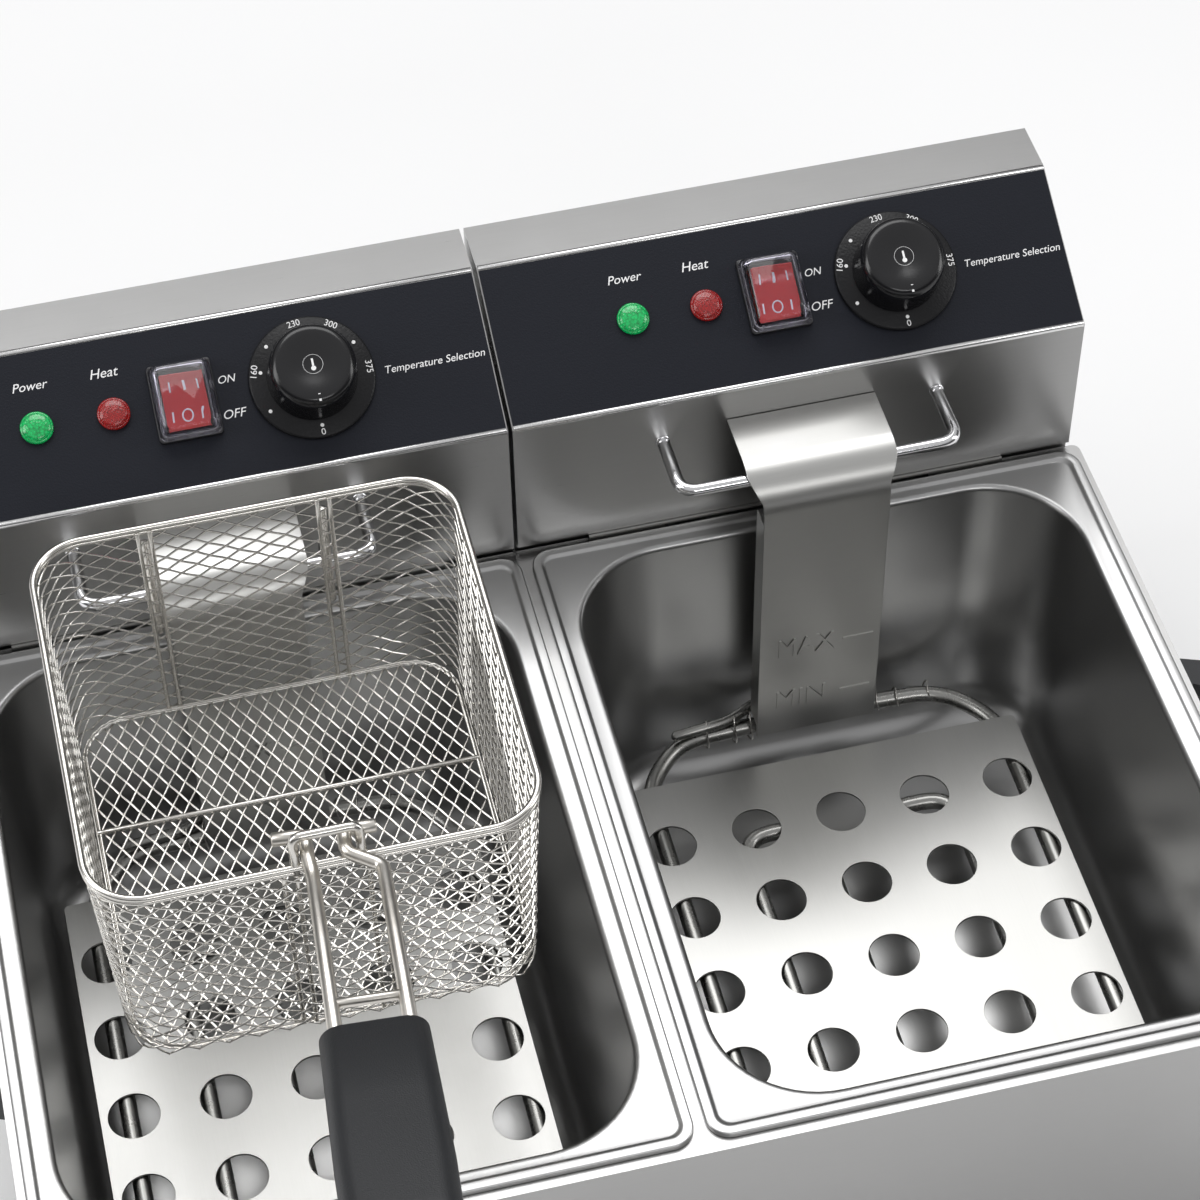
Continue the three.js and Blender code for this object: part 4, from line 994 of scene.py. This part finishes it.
def makeRocker(side, place):
    # two dished faces that meet in a low valley
    rest = place @ Matrix.Translation((0, 0, (controls["seat"] + rocker["axis"]) * mm))
    rest = rest @ Matrix.Rotation(math.radians(rocker["tilt"]), 4, "X")
    half, halfWide = rocker["half"], rocker["wide"] / 2
    outline = [(-half, rocker["edge"])]
    for i in range(17):
        y = -half + 2 * half * i / 16
        outline.append((y, rockerFace(y)[0]))
    outline += [(half, rocker["edge"]), (0, rocker["keel"])]
    bm = bmesh.new()
    loft(bm, [[rest @ (Vector((x, y, z)) * mm) for y, z in outline] for x in (-halfWide, halfWide)])
    finishPiece(
        f"rocker_{side}_key", bm, "rocker", f"switch_rocker_{side}",
        [f"rocker_{side}"], 25, 0.4,
    )
    marks = bmesh.new()
    long, thin, stroke = rocker["long"], rocker["thin"], rocker["stroke"]
    for y, kind in ((rocker["markY"], "bar"), (-rocker["markY"], "ring")):
        height, lean = rockerFace(y)
        flat = rest @ Matrix.Translation(Vector((0, y, height + rocker["markOut"])) * mm)
        flat = flat @ Matrix.Rotation(math.copysign(lean, y), 4, "X")
        if kind == "bar":
            block(marks, (-rocker["bar"], -long, -thin), (rocker["bar"], long, thin), flat)
        else:
            rod(marks, ringOf(flat, rocker["ring"], long, 0, 24), rocker["ringWire"] * mm, 6, closed=True)
        for x in (-rocker["strokeX"], rocker["strokeX"]):  # a thin stroke on each side of the sign
            block(marks, (x - stroke, -long, -thin), (x + stroke, long, thin), flat)
    finishPiece(f"rocker_{side}_marks", marks, "print", f"switch_rocker_{side}", ())


def makeSwitchCover(side, place):
    # soft clear boot: how far each section is inside the bezel, its corner radius, its height
    low = controls["seat"] + switch["bezel"] + 0.3
    outside = [(-1.2, 3.0, 0), (-1.2, 3.0, 0.8), (-3.0, 2.6, 1.4), (-4.0, 2.4, 5.0)]
    outside += [(-5.0, 2.4, 7.4), (-7.2, 2.2, 8.5)]
    inside = [(-9.2, 1.9, 7.7), (-6.6, 2.2, 6.9), (-5.6, 2.2, 4.8), (-4.6, 2.3, 1.4), (-4.6, 2.3, 0)]
    skins = []
    for sections in (outside, inside):
        rings = []
        for grow, radius, z in sections:
            rings.append(flatRing(place, switch["wide"] + grow, switch["tall"] + grow, radius, low + z, 6))
        skins.append(rings)
    bm = bmesh.new()
    closeShell(bm, *skins)
    finishPiece(
        f"switch_cover_{side}_clear", bm, "clear", f"head_{side}",
        [f"switch_cover_{side}"], 60,
    )


def makeSwitch(side):
    place = onSlope(side, controls["switchX"], slope["middle"])
    makeSwitchBody(side, place)
    makeRocker(side, place)
    makeSwitchCover(side, place)


# where things stand on the dial: clock hour, figure or dot, radius
figures = [(6, "0", 25.4), (9.5, "160", 25.6), (11.75, "230", 25.6), (1, "300", 25.6), (3, "375", 25.6)]
dots = ((6, 22.6), (8, 24.4), (9.5, 22.8), (10.5, 24.4), (2, 24.4))
figure = dict(wide=1.9, high=2.9, out=0.03, dot=((0, 0), (0.85, 0), (0.85, 0.06), (0, 0.06)))


def makeDial(side):
    place = onSlope(side, controls["dialX"], slope["middle"])
    seat, radius, bore = controls["seat"], dial["radius"], dial["bore"]
    top = seat + dial["thick"]
    profile = [(bore, seat), (radius, seat), (radius, top - 0.9), (radius - 0.3, top - 0.4)]
    profile += [(radius - 1.0, top), (bore, top), (bore, seat)]
    bm = bmesh.new()
    turned(bm, profile, place, 96)
    finishPiece(
        f"dial_ring_{side}_plate", bm, "dial", f"head_{side}",
        [f"dial_ring_{side}"], 50,
    )

    def atHour(hour, reach, out):
        angle = math.radians(90 - 30 * hour)
        spot = Vector((reach * math.cos(angle), reach * math.sin(angle), out)) * mm
        return place @ Matrix.Translation(spot), Matrix.Rotation(angle - math.pi / 2, 4, "Z")

    bm = bmesh.new()
    for hour, words, reach in figures:
        spot, turn = atHour(hour, reach, top + figure["out"])
        lettering(bm, words, figure["wide"] * len(words), spot @ turn, height=figure["high"])
    for hour, reach in dots:
        spot, _ = atHour(hour, reach, top)
        turned(bm, figure["dot"], spot, 16)
    finishPiece(f"dial_print_{side}", bm, "print", f"head_{side}", ())


def makeKnob(side):
    place = onSlope(side, controls["dialX"], slope["middle"])
    radius, bore = knob["radius"], knob["bore"]
    crown, shoulder = radius - knob["taper"], knobTop - knob["shoulder"]
    profile = [(0, knobSeat + knob["boreDeep"]), (bore, knobSeat + knob["boreDeep"]), (bore, knobSeat)]
    profile += [(radius - 0.5, knobSeat), (radius, knobSeat + 0.5), (radius - 0.1, knobSeat + 3)]
    profile.append((crown, shoulder))
    for angle in quarter(8)[1:]:
        inset = knob["corner"] * (1 - math.cos(angle))
        profile.append((crown - inset, shoulder + knob["shoulder"] * math.sin(angle)))
    for i in range(1, 9):  # the dished top
        t = i / 8
        fall = knob["dish"] * (0.5 - 0.5 * math.cos(math.pi * t))
        profile.append(((crown - knob["corner"]) * (1 - t), knobTop - fall))
    bm = bmesh.new()
    turned(bm, profile, place, 96)
    finishPiece(
        f"knob_{side}_cap", bm, "knob", f"temperature_knob_{side}",
        [f"knob_{side}"], 40,
    )
    # a thermometer in a ring, and the pointer on the edge
    marks = bmesh.new()
    mark = thermometer
    floor = knobTop - knob["dish"] + mark["out"]
    rod(marks, ringOf(place, mark["ring"], mark["ring"], floor, 48), mark["wire"] * mm, 6, closed=True)
    stem = place @ Matrix.Translation((0, 0, floor * mm))
    block(marks, mark["low"], mark["high"], stem)
    turned(marks, mark["ball"], stem @ Matrix.Translation((0, mark["ballY"] * mm, 0)), 20)
    tip = place @ Matrix.Translation((0, pointer["y"] * mm, (knobTop - pointer["sunk"]) * mm))
    block(marks, -pointer["half"], pointer["half"], tip @ Matrix.Rotation(pointer["lean"], 4, "X"))
    finishPiece(f"knob_{side}_marks", marks, "print", f"temperature_knob_{side}", ())


panelWords = [  # word, place across, place up, width, slant
    ("Power", -69.6, 59.9, 15.7, 0.28),
    ("Heat", -36.8, 59.9, 12.7, 0.28),
    ("ON", 15.6, 47.1, 8.0, 0.28),
    ("OFF", 16.0, 30.9, 10.4, 0.28),
    ("Temperature Selection", 108.0, 38.0, 45.2, 0.22),
]
filmOut = 0.82


def makeWords(side):
    bm = bmesh.new()
    for words, x, up, width, slant in panelWords:
        lettering(bm, words, width, onSlope(side, x, up, filmOut), slant)
    finishPiece(f"panel_print_{side}", bm, "print", f"head_{side}", ())


for side in sides:
    makeLamp(side, "power", controls["powerX"], "green")
    makeLamp(side, "heat", controls["heatX"], "red")
    makeSwitch(side)
    makeDial(side)
    makeKnob(side)
    makeWords(side)
print("controls ready")

basket = dict(
    wide=184.0, corner=25.0, deep=112.0, draft=4.2, fold=2.0, rimWire=2.4, wire=0.44, wallPitch=13.3,
    wallRow=7.5, floorPitch=7.15, floorLean=1.66, weave=0.25, cornerSteps=24,
    rimWires=((0.0, 0.9, 1.5), (0.5, -1.5, 1.1)),  # how far out, how high, radius
    bindings=((0.0, 0.0), (0.9, 0.9), (-0.6, 1.4)), bindingWire=0.5, bindingWaver=0.35,
)
staple = dict(shift=2.9, half=13.0, high=14.6, lean=4.0, wire=2.0, low=3.0, bend=4.0)
rib = dict(rear=(-2.6, 38.2), front=(4.0, 16.7), pair=2.6, inside=1.2, wire=1.0)  # middle and half spacing
crossWire = dict(y=28.0, up=1.6, ends=8, wire=1.2)
rimLow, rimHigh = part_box("basket_rim")
basketX = (rimLow.x + rimHigh.x) / 2
basketLong = (rimHigh.y - rimLow.y) / mm
basketY = (rimLow.y + rimHigh.y) / 2
rimZ = rimLow.z + basket["rimWire"] * mm
basketPlace = Matrix.Translation((basketX, basketY, rimZ))


def outlineAt(inset, corner):
    return roundedRect(basket["wide"] - 2 * inset, basketLong - 2 * inset, corner, basket["cornerSteps"])


def alongOutline(points, share):
    # a point at a share of the way round a closed outline
    lengths = []
    for i, (x, y) in enumerate(points):
        nx, ny = points[(i + 1) % len(points)]
        lengths.append(math.hypot(nx - x, ny - y))
    target = (share % 1.0) * sum(lengths)
    for i, length in enumerate(lengths):
        if target <= length:
            x, y = points[i]
            nx, ny = points[(i + 1) % len(points)]
            t = target / length if length else 0
            return (x + (nx - x) * t, y + (ny - y) * t)
        target -= length
    return points[0]


def wallLevels(count):
    # inset, corner radius and height from under the rim to the floor's edge
    levels = []
    top, deep = basket["rimWire"], basket["deep"] - basket["wire"]
    straight = deep - basket["fold"]
    for i in range(count + 1):
        t = i / count
        levels.append((top + basket["draft"] * t, basket["corner"] - top - 2 * t, -straight * t))
    for angle in quarter(6)[1:]:
        inset = top + basket["draft"] + basket["fold"] * (1 - math.cos(angle))
        levels.append((inset, basket["corner"] - inset / 2, -straight - basket["fold"] * math.sin(angle)))
    return levels


def weaveWalls(bm):
    # two sets of leaning wires that pass over and under each other
    depth = basket["deep"] - basket["wire"]
    around = 2 * (basket["wide"] + basketLong) - (8 - 2 * math.pi) * basket["corner"]
    count = round(around / basket["wallPitch"])
    crossings = round(2 * depth / basket["wallRow"])
    steps = 2 * crossings
    outlines = []
    for i in range(steps + 1):
        down = i / steps
        inset = basket["rimWire"] + basket["draft"] * down
        outlines.append(outlineAt(inset, basket["corner"] - inset))
    halfWide = 90  # about half the basket, so the weave is in millimetres
    for lean in (-1, 1):
        for k in range(count):
            route = []
            for i, outline in enumerate(outlines):
                x, y = alongOutline(outline, (k + lean * crossings / 2 * i / steps) / count)
                weave = 1 + lean * basket["weave"] * math.cos(math.pi * i / 2) / halfWide
                route.append(basketPlace @ (Vector((x * weave, y * weave, -depth * i / steps)) * mm))
            rod(bm, route, basket["wire"] * mm, 6)


def weaveFloor(bm, inset, corner, floorZ):
    # two sets of crossing wires inside the floor's outline
    halfX, halfY = basket["wide"] / 2 - inset, basketLong / 2 - inset
    pitch, lean = basket["floorPitch"], basket["floorLean"]
    reach = int((halfX + halfY / lean) / pitch) + 1
    for sign in (-1, 1):
        for k in range(-reach, reach + 1):
            ends = clipLine(k * pitch, sign / lean, halfX, halfY, corner)
            if not ends:
                continue
            low, high = ends
            knots = max(int((high - low) / (pitch * lean / 4)), 2)
            route = []
            for i in range(knots + 1):
                y = low + (high - low) * i / knots
                x = k * pitch + sign * y / lean
                over = sign * basket["weave"] * math.cos(2 * math.pi * y / (pitch * lean))
                route.append(basketPlace @ (Vector((x, y, floorZ + over)) * mm))
            rod(bm, route, basket["wire"] * mm, 6)


def makeBasketMesh():
    bm = bmesh.new()
    weaveWalls(bm)
    inset, corner, floorZ = wallLevels(1)[-1]
    weaveFloor(bm, inset, corner, floorZ)
    # the fold, where the floor sheet is bound to the walls
    for grow, z in basket["bindings"]:
        ring = []
        for i, (x, y) in enumerate(outlineAt(inset - grow, corner + grow)):
            waver = basket["bindingWaver"] * math.sin(i * 1.9 + grow)
            ring.append(basketPlace @ (Vector((x, y, floorZ + z + waver)) * mm))
        rod(bm, ring, basket["bindingWire"] * mm, 6, closed=True)
    finishPiece("basket_net", bm, "wire", "basket", ["basket_mesh"], 60)


def clipLine(offset, lean, halfX, halfY, corner):
    # both ends, in y, of the line x = offset + lean * y inside a rounded rectangle
    inside = []
    steps = 400
    for i in range(steps + 1):
        y = -halfY + 2 * halfY * i / steps
        x = offset + lean * y
        overX, overY = abs(x) - (halfX - corner), abs(y) - (halfY - corner)
        inCorner = overX > 0 and overY > 0
        if abs(x) <= halfX and not (inCorner and math.hypot(overX, overY) > corner):
            inside.append(y)
    return (inside[0], inside[-1]) if len(inside) > 4 else None


def makeBasketRim():
    bm = bmesh.new()
    for grow, z, wire in basket["rimWires"]:  # a thick wire and a thin one under it
        inset = basket["rimWire"] - grow * 0.4
        ring = [basketPlace @ (Vector((x, y, z)) * mm) for x, y in outlineAt(inset, basket["corner"] - inset)]
        rod(bm, ring, wire * mm, 16, closed=True)
    # staple on the front rim that the handle hooks into
    frontY = -basketLong / 2 + basket["rimWire"]
    leg = [(frontY, -staple["low"]), (frontY + staple["lean"], staple["high"])]
    corners = [(-staple["half"], y, z) for y, z in leg] + [(staple["half"], y, z) for y, z in reversed(leg)]
    route = [basketPlace @ (Vector((staple["shift"] + x, y, z)) * mm) for x, y, z in corners]
    rod(bm, bentPath(route, staple["bend"] * mm, 6), staple["wire"] * mm, 16)
    finishPiece("basket_rim_wires", bm, "wire", "basket", ["basket_rim"], 60)


def makeRibs():
    # pairs of upright wires on the front and rear walls, and a wire across the floor
    bm = bmesh.new()
    for sign in (-1, 1):
        for (middle, half), wall in ((rib["rear"], 1), (rib["front"], -1)):
            for step in (-rib["pair"], rib["pair"]):
                x = middle + sign * half + step
                route = []
                for inset, _, z in wallLevels(6):
                    y = wall * (basketLong / 2 - inset - rib["inside"])
                    route.append(basketPlace @ (Vector((x, y, z)) * mm))
                rod(bm, route, rib["wire"] * mm, 10)
    half = basket["wide"] / 2 - crossWire["ends"]
    z = crossWire["up"] - basket["deep"]
    route = [basketPlace @ (Vector((x, crossWire["y"], z)) * mm) for x in (-half, half)]
    rod(bm, route, crossWire["wire"] * mm, 10)
    finishPiece("basket_ribs", bm, "wire", "basket", (), 60)


hook = dict(
    wire=1.75, clear=1.4, over=0.6, offset=38.2, shift=4.4, wall=-49.5, off=0.4, foot=105, bend=3.0,
    kneeHigh=14, kneeLow=16, kneeOut=2, shoulder=10, tip=11,  # all below the top of the hook but kneeOut
)


def makeHook(side, sign):
    wallY = hook["wall"] + hook["wire"] + hook["off"]
    overZ = hanger["z"] + hanger["radius"] + hook["wire"] + hook["over"]
    reach = hanger["radius"] + hook["wire"] + hook["clear"]
    front, rear = -hanger["reach"] - reach, -hanger["reach"] + reach
    corners = [(wallY, hook["foot"]), (wallY, overZ - hook["kneeHigh"])]
    corners += [(wallY + hook["kneeOut"], overZ - hook["kneeLow"]), (front, overZ - hook["shoulder"])]
    corners += [(front, overZ), (rear, overZ), (rear, overZ - hook["tip"])]
    bm = bmesh.new()
    route = [onHead("left", hook["shift"] + sign * hook["offset"], y, z) for y, z in corners]
    rod(bm, bentPath(route, hook["bend"] * mm, 5), hook["wire"] * mm, 14)
    finishPiece(
        f"basket_hook_{side}_wire", bm, "wire", "basket",
        [f"basket_hook_{side}"], 60,
    )


makeBasketMesh()
makeBasketRim()
makeRibs()
makeHook("left", -1)
makeHook("right", 1)
print("basket ready")

handle = dict(
    wire=2.8, inner=7.4, outer=13.6, step=7.0, foot=13.0, kneeY=18, kneeZ=2, rise=15.0, yaw=-4.0, long=118.0,
    bend=3.5, bar=76.0, barWire=2.0, pivotY=-232.6, pivotZ=124.5, shift=2.9,
)
grip = dict(
    long=118.0, wide=40.0, thick=19.0, over=22.0, corner=7.5,
    swell=((0.5, 0.35), (0.9, 0.6), (0.5, 0.8)),  # how much fuller, and where along it
)


def alongRods(x, distance):
    # a point on a handle rod's straight run, in the handle's own millimetres
    rise = math.radians(handle["rise"])
    run = Vector((0, -math.cos(rise), math.sin(rise)))
    return Vector((x, -handle["kneeY"], -handle["kneeZ"])) + run * distance


def makeHandle():
    pivot = Vector((handle["shift"], handle["pivotY"], handle["pivotZ"])) * mm
    place = Matrix.Translation(Vector((basketX, faceY, flangeZ)) + pivot)
    place = place @ Matrix.Rotation(math.radians(handle["yaw"]), 4, "Z")
    bm = bmesh.new()
    for sign in (-1, 1):
        outer = handle["step"] + sign * handle["outer"]
        corners = [
            Vector((sign * (handle["inner"] + handle["foot"]), 0, 0)),
            Vector((sign * handle["inner"], 0, 0)),
            Vector((sign * handle["inner"], -10, -1)),
            Vector((outer, -handle["kneeY"], -handle["kneeZ"])),
            alongRods(outer, handle["long"]),
        ]
        route = bentPath([place @ (corner * mm) for corner in corners], handle["bend"] * mm, 8)
        rod(bm, route, handle["wire"] * mm, 20)
    ends = [alongRods(handle["step"] + sign * handle["outer"], handle["bar"]) for sign in (-1, 1)]
    rod(bm, [place @ (end * mm) for end in ends], handle["barWire"] * mm, 14)
    finishPiece("handle_frame_rods", bm, "rods", "basket_handle", ["handle_frame"], 60)
    makeGrip(place)


def makeGrip(place):
    start = alongRods(handle["step"], handle["long"] - grip["over"])
    towards = place @ Matrix.Translation(start * mm)
    towards = towards @ Matrix.Rotation(math.pi / 2 - math.radians(handle["rise"]), 4, "X")
    long = grip["long"]
    stations = [(-3.4, 0), (-1.4, 1.0), (0, 3.0)]
    stations += [(swell, share * long) for swell, share in grip["swell"]]
    stations += [(0.1, long - 5), (-1.2, long - 1.6), (-3.4, long)]
    rings = []
    for grow, z in stations:
        wide, thick = grip["wide"] + 2 * grow, grip["thick"] + 2 * grow
        rings.append(flatRing(towards, wide, thick, min(grip["corner"], thick / 2 - 0.5), z, 8))
    bm = bmesh.new()
    loft(bm, rings)
    finishPiece("handle_grip_moulded", bm, "handle", "basket_handle", ["handle_grip"], 50)


makeHandle()
print("handle ready")

screws = dict(inset=9.0, radius=3.2, high=1.6, socket=1.2)


def makeScrews(side):
    # six round-headed screws hold each rear cover
    low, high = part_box(f"rear_cover_{side}")
    bm = bmesh.new()
    inset, radius, top, socket = screws["inset"] * mm, screws["radius"], screws["high"], screws["socket"]
    profile = [(0, -0.3), (radius, -0.3), (radius, 0.4), (radius * 0.8, top * 0.8), (radius * 0.45, top)]
    profile += [(socket, top), (socket - 0.2, 0.6), (0, 0.6)]
    for x in (low.x + inset, (low.x + high.x) / 2, high.x - inset):
        for z in (low.z + inset, high.z - inset):
            place = Matrix.Translation((x, high.y, z)) @ Matrix.Rotation(-math.pi / 2, 4, "X")
            turned(bm, profile, place, 24)
    finishPiece(f"rear_screws_{side}", bm, "chrome", f"head_{side}", (), 35)


for side in sides:
    makeScrews(side)
print("rear screws ready")

floorSize = 40.0


def makeFloor():
    bm = bmesh.new()
    bmesh.ops.create_grid(bm, x_segments=1, y_segments=1, size=floorSize)
    mesh = bpy.data.meshes.new("floor")
    bm.to_mesh(mesh)
    bm.free()
    floor = bpy.data.objects.new("floor", mesh)
    bpy.context.collection.objects.link(floor)
    pale = Finish("paleFloor", roughness=0.7)
    cloud = pale.noise(3.0, 2.0)
    pale.feed("Base Color", pale.mix(cloud, (0.91, 0.91, 0.91), (0.94, 0.94, 0.94)))
    mesh.materials.append(pale.material)


makeFloor()
print("scene complete")
